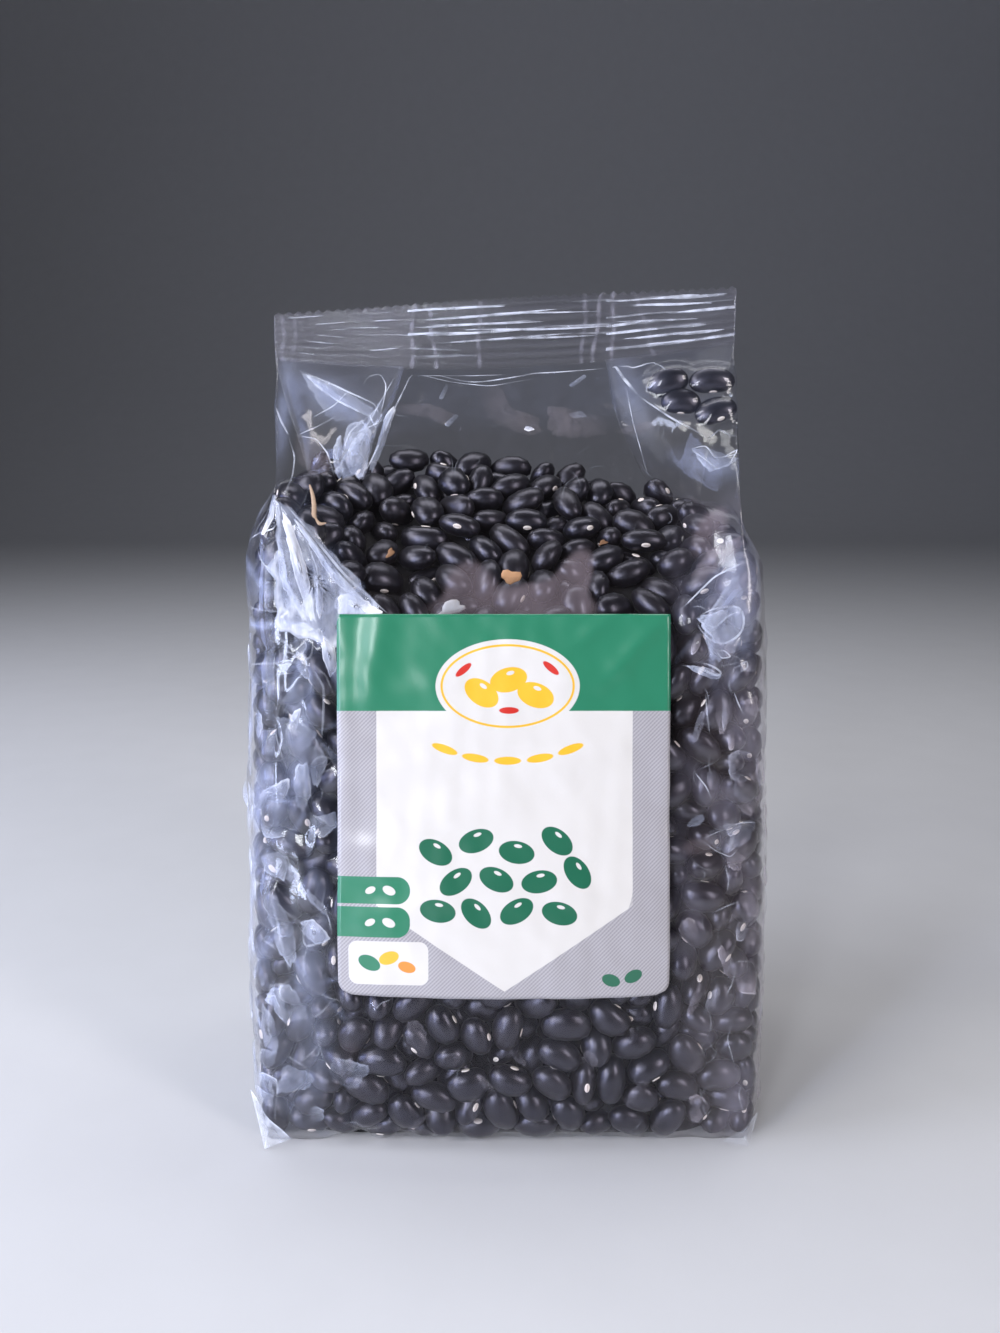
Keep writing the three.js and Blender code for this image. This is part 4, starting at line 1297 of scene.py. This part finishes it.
label = {
    "halfWidth": 37.1, "centre": -1.1, "low": 40.4, "high": 124.2, "corner": 3.0,
    "gap": 0.55, "thickness": 0.14, "columns": 90, "rows": 100, "seed": 5,
    "waves": [(0.12, 16), (0.05, 7)],  # height and size in mm
    # soft folds in the paper: place from the top left corner, half width, half length, turn, height
    "puckers": [(9, 6, 3.0, 16, 0.15, 0.55), (66, 8, 2.2, 11, 0.75, 0.40), (58, 3, 2.0, 8, 0.9, 0.30),
                (2, 30, 2.0, 22, 0.0, 0.35), (72, 40, 2.0, 26, 0.05, 0.25)],
}


# The label lies on the front panel: x across, the height taken along the panel's slope, its lower
# corners rounded. Its uv is millimetres from the top left corner.
def makeLabel(spec):
    s = np.linspace(-1, 1, spec["columns"] + 1)[None, :]
    t = np.linspace(0, 1, spec["rows"] + 1)[:, None]
    z = spec["low"] + (spec["high"] - spec["low"]) * t + 0 * s
    corner = np.maximum(0, spec["corner"] - (z - spec["low"]))
    inset = spec["corner"] - np.sqrt(np.maximum(0, spec["corner"] ** 2 - corner ** 2))
    x = spec["centre"] + (spec["halfWidth"] - inset) * s
    y = panelY("front", x, z)
    face = np.stack([x, y, z], -1)
    slope = np.gradient(y, axis=0) / np.gradient(z, axis=0)
    risen = np.cumsum(np.sqrt(1 + slope[1:] ** 2) * np.diff(z, axis=0), 0)
    climb = np.concatenate([np.zeros((1, s.size)), risen])
    u = x - spec["centre"] + spec["halfWidth"]
    v = climb[-1:, :] - climb
    normal = np.cross(np.gradient(face, axis=1), np.gradient(face, axis=0))
    normal /= np.linalg.norm(normal, axis=-1, keepdims=True)
    rng = np.random.default_rng(spec["seed"])
    bumps = sum(height * waves(u, v, size, rng) for height, size in spec["waves"])
    for across, down, width, length, turn, height in spec["puckers"]:
        a = (u - across) * math.cos(turn) + (v - down) * math.sin(turn)
        b = (v - down) * math.cos(turn) - (u - across) * math.sin(turn)
        bumps = bumps + height * np.exp(-(a / width) ** 2 - (b / length) ** 2)
    outer = face + normal * (spec["gap"] + spec["thickness"] + bumps)[..., None]
    inner = face + normal * (spec["gap"] + bumps)[..., None]
    ring = np.concatenate([outer, inner[:, ::-1]], 1)
    printed = np.stack([u, v], -1)
    uv = np.concatenate([printed, printed[:, ::-1]], 1).reshape(-1, 2)
    return makeMesh("labelSheet", ring, slabQuads(spec["rows"] + 1, s.size), None, None, uv)


labelPiece = makeLabel(label)
report("label")


# Corners of the block bottom: small stiff triangles of folded film, each a fan of rows between two
# edges that meet at the tip, slightly curled.
ears = [  # tip, upper end, inner end, in mm, and how bright their painted highlight is
    ((-57.0, -37.6, 0.25), (-60.6, -33.6, 13.0), (-50.5, -38.6, 3.6), 1.7),
    ((56.4, -36.8, 0.25), (59.2, -33.4, 7.0), (50.0, -38.2, 2.6), 0.6),
    ((-56.6, 37.6, 0.25), (-60.0, 33.0, 8.0), (-50.0, 39.4, 3.0), 0.7),
    ((56.6, 37.6, 0.25), (60.0, 33.0, 9.0), (50.5, 39.4, 3.0), 0.7),
]


# Place on an ear: from the tip to the line between its ends, bulged outwards by sines of the share
# along it.
def makeEars(spec, m=12):
    t = np.linspace(0, 1, m)[:, None, None]
    w = np.linspace(0, 1, m)[None, :, None]
    grids = []
    for *corners, _ in spec:
        tip, upper, inner = np.array(corners)
        far = upper + (inner - upper) * w
        sag = (0.9 * np.sin(math.pi * w) - 0.25 * np.sin(3 * math.pi * w)) * t
        outward = np.array([np.sign(tip[0]) * 0.6, np.sign(tip[1]) * 0.8, 0.0])
        grids.append(tip + (far - tip) * t + outward * (sag - 0.2))
    quads = repeatFaces(gridQuads(m, m), len(spec), m * m)
    rims = ((w, 0.02, 0.06), (w, 0.55, 0.05), (1 - t, 0.0, 0.05))  # painted highlight lines: place and width
    edge = sum(np.exp(-((value - place) / width) ** 2) for value, place, width in rims)
    tone = np.array([ear[-1] for ear in spec])[:, None] * (0.5 + 0.5 * np.clip(edge, 0, 1)).ravel()
    return makeMesh("baseEars", np.array(grids), quads, None, {"tone": tone.ravel()})


earPiece = makeEars(ears)

# Bits of chaff among the beans: flakes and chips in the form of a flat bean with an uneven outline, and
# a pod string as a flat tube along a path.
bits = [  # centre, length and width directions, half sizes in mm, tone
    ((0.6, -18.3, 132.0), (1, 0, -0.1), (0, -0.3, 1), (2.3, 1.7, 0.35), 0.55),
    ((-13.0, -21.4, 125.0), (0.9, 0, 0.55), (-0.4, -0.2, 1), (3.3, 1.7, 0.4), 1.0),
    ((-27.0, -14.0, 137.0), (0.5, 0.3, 0.8), (0.9, 0, -0.5), (1.2, 0.7, 0.25), 0.3),
    ((22.0, -10.0, 139.0), (0.9, 0.3, 0.2), (0, 0.6, 0.8), (1.0, 0.6, 0.2), 0.2),
]
stringPath = [(-45.2, -11.6, 152.2), (-44.4, -12.6, 150.0), (-43.9, -14.0, 147.4), (-44.0, -15.2, 145.0),
              (-42.6, -16.0, 143.6), (-41.2, -15.6, 143.9)]


# The string is a tube along the smoothed path, swollen in the middle by a sine and flattened.
def makeChaff(around=8, steps=30):
    points, quads, tris, tones = [], [], [], []
    form, formQuads, formTris = beanForm(16, 8, 0.25, 0.0)
    for place, length, width, size, value in bits:
        quads.append(formQuads + len(form) * len(points))
        tris.append(formTris + len(form) * len(points))
        angle = np.arctan2(form[:, 1], form[:, 0])
        outline = 1 + 0.22 * np.cos(3 * angle + 9 * value) + 0.10 * np.cos(5 * angle + 4 * value)
        uneven = form * np.stack([outline, outline, 0 * outline + 1], 1)
        points.append((uneven * size) @ axesFrom(length, width).T + np.array(place))
        tones.append(np.full(len(form), value))
    start = len(form) * len(points)
    path = np.array(stringPath)
    t = np.linspace(0, 1, steps)
    line = np.stack([np.interp(t, np.linspace(0, 1, len(path)), path[:, k]) for k in range(3)], 1)
    for _ in range(6):  # rounds the string's bends
        roundLine(line)
    along = np.gradient(line, axis=0)
    along /= np.linalg.norm(along, axis=1, keepdims=True)
    across = np.cross(along, [0.3, -1.0, 0.2])
    across /= np.linalg.norm(across, axis=1, keepdims=True)
    third = np.cross(along, across)
    turn = 2 * math.pi * np.arange(around) / around
    width = (0.55 * np.sin(math.pi * np.clip(t * 0.9 + 0.06, 0, 1)) ** 0.6)[:, None, None]
    tube = (line[:, None] + across[:, None] * np.cos(turn)[None, :, None] * width
            + third[:, None] * np.sin(turn)[None, :, None] * width * 0.4)
    ends = np.array([line[0] - along[0] * 0.2, line[-1] + along[-1] * 0.2])
    points += [tube.reshape(-1, 3), ends]
    quads.append(gridQuads(steps, around, closed=True) + start)
    end = start + steps * around
    tris.append(fanTris(start, around, end)[:, ::-1])
    tris.append(fanTris(end - around, around, end + 1))
    tones.append(np.full(steps * around + len(ends), 0.8))
    points, quads, tris, tones = [np.concatenate(rows) for rows in (points, quads, tris, tones)]
    return makeMesh("chaff", points, quads, tris, {"tone": tones})


chaff = makeChaff()
report("base corners and chaff")


# A dark core under the outer layer of beans, so that no light comes through between them: rounded
# rectangles from the floor up to the heap, pressed in three times to stay inset from every panel.
def makeCore(inset=8.5, floorGap=0.5, low=2.2, columns=72, rows=30):
    turn = 2 * math.pi * np.arange(columns) / columns
    t = np.linspace(0, 1, rows)[:, None]
    x = 0 * t + 58.0 * np.sign(np.cos(turn)) * np.abs(np.cos(turn)) ** 0.55
    y = 1.0 + 0 * t + 36.0 * np.sign(np.sin(turn)) * np.abs(np.sin(turn)) ** 0.6
    z = floorGap + (heapHeight(x, y) - inset - floorGap) * t
    # Near the floor the inset shrinks to low, so the core shows as a dark strip under the lowest beans: a
    # painted shadow at the bag's foot.
    for _ in range(3):
        inside = low + (inset - low) * smooth(0, 15, z)
        y = np.maximum(y, panelY("front", x, z) + inside)
        y = np.minimum(y, panelY("back", x, z) - inside)
        x = np.minimum(x, sideReach(1, y, z) - inside)
        x = np.maximum(x, inside - sideReach(-1, y, z))
        z = floorGap + (heapHeight(x, y) - inset - floorGap) * t
    points = np.stack([x, y, z], -1)
    rings = [points]
    for share in (0.8, 0.6, 0.4, 0.2):
        ring = points[-1].copy()
        ring[:, :2] = ring[:, :2].mean(0) + (ring[:, :2] - ring[:, :2].mean(0)) * share
        ring[:, 2] = heapHeight(ring[:, 0], ring[:, 1]) - inset
        rings.append(ring[None])
    grid = np.concatenate(rings)
    end = len(grid) * columns
    allPoints = np.concatenate([grid.reshape(-1, 3), grid[-1:].mean(1), grid[:1].mean(1)])
    tris = np.concatenate([fanTris(end - columns, columns, end), fanTris(0, columns, end + 1)[:, ::-1]])
    return makeMesh("innerBeans", allPoints, gridQuads(len(grid), columns, closed=True), tris)


core = makeCore()
report("core")


# Clear film: see-through with a gloss that rises to grazing, under a thin pale bluish share of painted glare
# and a thin brownish share of painted reflection over a faint haze, both following the film's own values.
def filmStuff():
    n = Nodes("clear film")
    place = n.attribute("place", "Vector")
    fine = n.noise(place, 0.16, 2.0, 0.5)
    normal = n.bump(fine, 0.25, 0.0006)
    fresnel = n.sheen(n.attribute("shine"), normal)
    rough = n.range(n.attribute("strip"), 0.0, 1.0, 0.06, 0.14)
    shine = n.blend(fresnel, n.clear(color(0.985, 0.985, 0.99)), n.gloss(rough, normal))
    streak = n.noise(place, 0.13, 2.0, 0.55)
    milkyGlare = n.math("MULTIPLY", n.attribute("milkyGlare"), n.range(streak, 0.35, 0.65, 0.65, 1.3), clamp=True)
    pale = n.blend(milkyGlare, shine, n.dull(color(0.62, 0.70, 1.0)))
    return n.finish(n.blend(n.attribute("tan"), pale, n.dull(color(0.52, 0.42, 0.46))))


# Creases, seal folds and base ears: painted highlights, pale and glossy in patches, as strong as each line's
# tone.
def creaseGlintStuff():
    n = Nodes("film crease glints")
    bright = n.paint(color(0.80, 0.84, 0.95), 0.25)
    patches = n.range(n.noise(n.objectPlace(), 220.0, 2.0), 0.35, 0.65, 0.15, 0.75)
    share = n.math("MULTIPLY", n.attribute("tone"), n.math("MULTIPLY", patches, 0.8), clamp=True)
    return n.finish(n.blend(share, n.clear(color(1, 1, 1)), bright))


# Folded film painted as glare: streaky, cool or brownish, whiter and denser where its tone is strong.
def paneGlareStuff():
    n = Nodes("folded film glare")
    streaks = n.noise(n.objectPlace((1, 1, 0.3)), 420.0, 3.0, 0.6)
    tone = n.attribute("tone")
    cool = n.mix(streaks, color(0.46, 0.53, 0.80), color(0.85, 0.89, 0.98))
    warm = n.mix(streaks, color(0.42, 0.33, 0.36), color(0.68, 0.59, 0.63))
    base = n.mix(n.attribute("warmth"), cool, warm)
    base = n.mix(n.range(tone, 0.4, 0.9, 0.0, 1.0), base, color(0.94, 0.945, 0.97))
    pale = n.paint(base, 0.2, {"Normal": n.bump(streaks, 0.4, 0.0004)})
    share = n.math("MULTIPLY", tone, n.range(streaks, 0.3, 0.7, 0.6, 1.2), clamp=True)
    return n.finish(n.blend(share, n.clear(color(1, 1, 1)), pale))


# Crimped film: clear and glossy, with a thin mist where more layers lie and on welds, and a faint painted
# highlight along the ridges.
def sealStuff():
    n = Nodes("crimped film")
    fine = n.noise(n.objectPlace((1, 1, 6)), 500.0, 3.0, 0.6)
    normal = n.bump(fine, 0.5, 0.0003)
    fresnel = n.sheen(0.03, normal)
    shine = n.blend(fresnel, n.clear(color(0.95, 0.95, 0.97)), n.gloss(0.10, normal))
    streak = n.range(n.noise(n.objectPlace((0.12, 1, 1)), 700.0, 3.0, 0.7), 0.42, 0.62, 0.3, 1.5)
    mist = n.math("MULTIPLY", n.attribute("layers"), n.math("MULTIPLY", streak, 0.045))
    # The ridges' share is a faint painted highlight along them.
    for name, share in (("weld", 0.16), ("ridge", 0.02)):
        mist = n.math("ADD", mist, n.math("MULTIPLY", n.attribute(name), share))
    mist = n.math("ADD", mist, 0.006, clamp=True)
    return n.finish(n.blend(mist, shine, n.dull(color(0.66, 0.64, 0.76))))


# Dry chaff: brown to pale by each bit's tone, the palest one grey, with a darker grain.
def chaffStuff():
    n = Nodes("dry chaff")
    grain = n.noise(n.objectPlace(), 900.0, 3.0, 0.6)
    tone = n.attribute("tone")
    warm = n.mix(n.range(tone, 0.2, 0.55, 0.0, 1.0), color(0.20, 0.09, 0.035), color(0.50, 0.26, 0.12))
    base = n.mix(n.range(tone, 0.6, 0.85, 0.0, 1.0), warm, color(0.60, 0.45, 0.32))
    base = n.mix(n.range(tone, 0.88, 1.0, 0.0, 1.0), base, color(0.42, 0.43, 0.46))
    base = n.mix(n.math("MULTIPLY", grain, 0.35), base, color(0.25, 0.16, 0.10))
    return n.finish(n.paint(base, 0.6, {"Normal": n.bump(grain, 0.4, 0.0002)}))


# Core: near black with faint spots, dull.
def coreStuff():
    n = Nodes("inner beans")
    spots = n.noise(n.objectPlace(), 160.0, 3.0)
    base = n.mix(spots, color(0.003, 0.003, 0.004), color(0.010, 0.009, 0.010))
    return n.finish(n.paint(base, 0.8))


# Share of ink, 1 inside and 0 outside, from the distance in mm to the edge, which is negative inside.
def fill(n, distance, softness=0.05):
    return n.range(distance, -softness, softness, 1.0, 0.0)


# A box with corners of radius r: the length of what is left of the distance from its middle, past its
# half sizes less r.
def boxField(n, uv, x0, x1, y0, y1, r=0.0):
    off = n.vector("SUBTRACT", uv, ((x0 + x1) / 2, (y0 + y1) / 2, 0))
    off = n.vector("SUBTRACT", n.vector("ABSOLUTE", off), ((x1 - x0) / 2 - r, (y1 - y0) / 2 - r, 0))
    length = n.length(n.vector("MAXIMUM", off, (0, 0, 0)))
    return fill(n, n.math("SUBTRACT", length, r + 0.02))


# A turned oval: the length of the place measured in its half sizes a and b, less 1.
def ovalField(n, uv, x, y, a, b, turn=0.0):
    inputs = {"Vector": uv, "Location": (x, y, 0), "Rotation": (0, 0, math.radians(turn)), "Scale": (a, b, 1)}
    place = n.add("ShaderNodeMapping", inputs, vector_type="TEXTURE").outputs[0]
    return fill(n, n.math("MULTIPLY", n.math("SUBTRACT", n.length(place), 1.0), min(a, b)))


# What is printed on the label, in mm from its top left corner: x right, y down.
inks = {
    "white": (0.695, 0.667, 0.630), "green": (0.022, 0.200, 0.105), "deep": (0.012, 0.130, 0.068),
    "gold": (0.84, 0.48, 0.03), "orange": (0.75, 0.26, 0.03), "red": (0.60, 0.03, 0.02),
    "silver": (0.312, 0.298, 0.317), "paleSilver": (0.449, 0.428, 0.447),
}
printing = {
    "hatch": 7.0,  # radians for each mm of the silver's fine diagonal lines
    "shield": (37.3, 28.5, 83.9, 0.665),  # middle, half width, its point's y, slope of its lower edges
    "cornerBox": (62.2, 66.6, 60.0, 66.6),  # where the shield's right side is rounded
    "cornerOval": (61.4, 60.4, 4.45, 8.0),  # what stays of it there
    "band": 21.5,  # foot of the green band
    # boxes: x from and to, y from and to, corner radius, ink
    "boxes": [(-8, 16.3, 58.6, 64.6, 2.9, "green"), (-8, 16.3, 65.3, 72.0, 2.9, "green"),
              (2.5, 20.4, 72.9, 82.7, 2.0, "white")],
    # rows of ovals: half length, half width, ink, then x, y and turn in degrees of each
    "ovals": [
        (2.6, 1.612, "green", [(7.2, 77.8, 25)]),
        (2.3, 1.426, "gold", [(11.6, 76.6, -20)]),
        (2.0, 1.24, "orange", [(15.6, 78.6, 15)]),
        (1.5, 0.95, "white", [(11.6, 61.6, 25), (11.6, 68.7, 25)]),
        (1.2, 0.75, "white", [(7.4, 61.6, -25), (7.4, 68.7, -25)]),
        (2.1, 1.35, "deep", [(61.0, 81.6, 20), (66.0, 80.8, -25)]),
        # badge on the band: a white oval with a gold rim, three gold beans and three red leaves
        (16.0, 10.4, "white", [(38.0, 16.0, 0)]),
        (14.9, 9.3, "gold", [(38.0, 16.0, 0)]),
        (14.4, 8.8, "white", [(38.0, 16.0, 0)]),
        (4.2, 2.7, "gold", [(32.2, 17.5, 35)]),
        (0.9, 0.45, "white", [(32.6, 16.0, 35)]),
        (4.2, 2.7, "gold", [(38.2, 14.6, -15)]),
        (0.9, 0.45, "white", [(38.6, 13.1, -15)]),
        (4.2, 2.7, "gold", [(44.2, 18.0, 20)]),
        (0.9, 0.45, "white", [(44.6, 16.5, 20)]),
        (2.2, 0.75, "red", [(28.2, 12.4, -40), (47.6, 12.0, 40), (38.3, 21.4, 0)]),
        (3.0, 0.9, "gold", [(24.0, 30.0, 20), (30.8, 32.0, 10), (38.0, 32.6, 0), (45.2, 32.0, -10),
                            (52.0, 30.0, -20)]),
    ],
    # a drift of beans in the middle of the white field: half sizes, ink, x, y and turn, and the eye's
    # half sizes and offset
    "drift": (4.0, 2.5, "deep", [
        (22, 53, 30), (31, 50.5, -20), (40, 53, 10), (49, 50.5, 40), (26.5, 59.5, -35), (35.5, 59, 25),
        (45, 59.5, -10), (53.5, 57.5, 55), (22.5, 66, 10), (31, 66.5, 45), (40, 66, -30), (49.5, 66.5, 15)]),
    "driftEye": (0.9, 0.4, 0.3, -1.4),
}


# Printed label: silver with fine diagonal lines, then a white shield, the green band, boxes and ovals,
# each laid over the last, under a satin coat on faintly fibrous paper.
def labelStuff(spec):
    n = Nodes("printed label")
    flat = n.add("ShaderNodeUVMap", uv_map="print").outputs[0]
    sep = n.add("ShaderNodeSeparateXYZ", {0: flat})
    u, v = sep.outputs[0], sep.outputs[1]
    ink = {name: color(*tint) for name, tint in inks.items()}
    lines = n.math("SINE", n.math("MULTIPLY", n.math("ADD", u, v), spec["hatch"]))
    cross = n.math("SINE", n.math("MULTIPLY", n.math("SUBTRACT", u, v), spec["hatch"]))
    weave = n.range(n.math("ADD", lines, n.math("MULTIPLY", cross, 0.35)), -0.6, 0.6, 0.0, 1.0)
    silver = n.mix(weave, ink["silver"], ink["paleSilver"])
    middle, halfWidth, foot, slope = spec["shield"]
    shieldX = n.math("ABSOLUTE", n.math("SUBTRACT", u, middle))
    point = n.math("SUBTRACT", n.math("ADD", v, n.math("MULTIPLY", shieldX, slope)), foot)
    sideway = n.math("SUBTRACT", shieldX, halfWidth)
    shield = n.math("MULTIPLY", fill(n, n.math("MULTIPLY", point, 0.83)), fill(n, sideway))
    base = n.mix(shield, silver, ink["white"])
    corner = n.math("SUBTRACT", 1.0, ovalField(n, flat, *spec["cornerOval"]))
    base = n.mix(n.math("MULTIPLY", boxField(n, flat, *spec["cornerBox"]), corner), base, silver)
    base = n.mix(fill(n, n.math("SUBTRACT", v, spec["band"])), base, ink["green"])
    for x0, x1, y0, y1, radius, name in spec["boxes"]:
        base = n.mix(boxField(n, flat, x0, x1, y0, y1, radius), base, ink[name])
    for a, b, name, spots in spec["ovals"]:
        for x, y, turn in spots:
            base = n.mix(ovalField(n, flat, x, y, a, b, turn), base, ink[name])
    a, b, name, spots = spec["drift"]
    eyeA, eyeB, offX, offY = spec["driftEye"]
    for x, y, turn in spots:
        base = n.mix(ovalField(n, flat, x, y, a, b, turn), base, ink[name])
        base = n.mix(ovalField(n, flat, x + offX, y + offY, eyeA, eyeB, turn), base, ink["white"])
    fibre = n.noise(n.objectPlace(), 1400.0, 2.0)
    return n.finish(n.paint(base, 0.32, {"Specular IOR Level": 0.5, "Coat Weight": 0.8, "Coat Roughness": 0.2,
                                         "Normal": n.bump(fibre, 0.12, 0.0001)}))


assign(filmStuff(), filmPiece)
assign(creaseGlintStuff(), creasePiece, streakPiece, earPiece)
assign(paneGlareStuff(), glarePanePiece)
assign(sealStuff(), sealPiece)
assign(coreStuff(), core)
assign(chaffStuff(), chaff)
assign(labelStuff(printing), labelPiece)
report("finishes")

slots = {
    "beans": (heapBeans, packedBeans, pocketBeans, core), "hilum": (eyes,),
    "film": (filmPiece, creasePiece, sealPiece, streakPiece, earPiece, glarePanePiece),
    "chaff": (chaff,), "label": (labelPiece,),
}
for slotName, pieces in slots.items():
    for piece in pieces:
        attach(piece, "root")
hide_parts("bag")
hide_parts("label")

studio = {
    "floor": (0.60, 0.605, 0.62), "world": (0.038, 0.040, 0.048),
    "target": (0.0, 0.0, 0.09),  # m, where the lights point
    "reach": 2.8, "bend": 1.3, "rise": 2.4,  # m: flat part behind the bag, radius of the sweep, its height
    "lights": [  # name, place in m, size in m, power in W, colour
        ("top", (0.0, 0.26, 0.92), (0.9, 0.34), 3.5, (0.98, 0.98, 1.0)),
        ("high", (-0.62, -0.14, 0.72), (0.30, 0.40), 3.0, (0.97, 0.98, 1.0)),
        ("key", (-0.66, -0.52, 0.50), (0.22, 0.40), 3.5, (1.0, 0.985, 0.965)),
        ("left", (-0.50, -0.60, 0.24), (0.10, 0.60), 3.6, (0.70, 0.77, 1.0)),
        ("side", (-0.85, -0.12, 0.22), (0.45, 0.45), 3.8, (0.52, 0.60, 1.0)),
        ("sliver", (-0.27, -0.70, 0.37), (0.09, 0.32), 1.4, (0.92, 0.95, 1.0)),
        ("right", (0.62, -0.52, 0.42), (0.14, 0.50), 2.8, (1.0, 0.94, 0.95)),
    ],
}


# Floor and backdrop in one sheet: flat, then a quarter circle, then upright.
def makeFloor(spec):
    turn = np.linspace(0, math.pi / 2, 25)
    curve = spec["reach"] - spec["bend"] + spec["bend"] * np.sin(turn)
    y = np.concatenate([[-5.0, -1.0, 0.0], curve, [spec["reach"]]])
    z = np.concatenate([[0.0, 0.0, 0.0], spec["bend"] * (1 - np.cos(turn)), [spec["rise"]]])
    x = np.linspace(-6.0, 6.0, 13)
    grid = np.stack([x[None, :] + 0 * y[:, None], y[:, None] + 0 * x, z[:, None] + 0 * x], -1) * 1000.0
    floor = makeMesh("floor", grid, gridQuads(len(y), len(x)))
    n = Nodes("floor paint")
    darker, lighter = [color(*[share * value for value in spec["floor"]]) for share in (0.97, 1.03)]
    base = n.mix(n.noise(n.objectPlace(), 40.0, 3.0), darker, lighter)
    assign(n.finish(n.paint(base, 0.6)), floor)


# Rectangular lamps that point at the bag, and a dim even light from all round.
def makeLights(spec):
    world = bpy.data.worlds.new("studio")
    world.use_nodes = True
    world.node_tree.nodes["Background"].inputs[0].default_value = color(*spec["world"])
    bpy.context.scene.world = world
    for name, place, size, power, tint in spec["lights"]:
        data = bpy.data.lights.new(name, "AREA")
        data.shape = "RECTANGLE"
        data.size, data.size_y = size
        data.energy = power
        data.color = tint
        obj = bpy.data.objects.new(name, data)
        obj.location = place
        away = np.array(place) - spec["target"]
        obj.rotation_euler = (math.atan2(math.hypot(away[0], away[1]), away[2]), 0.0,
                              math.atan2(away[0], -away[1]))
        bpy.context.scene.collection.objects.link(obj)


makeFloor(studio)
makeLights(studio)
bpy.context.scene.view_settings.view_transform = "Standard"
report("studio")
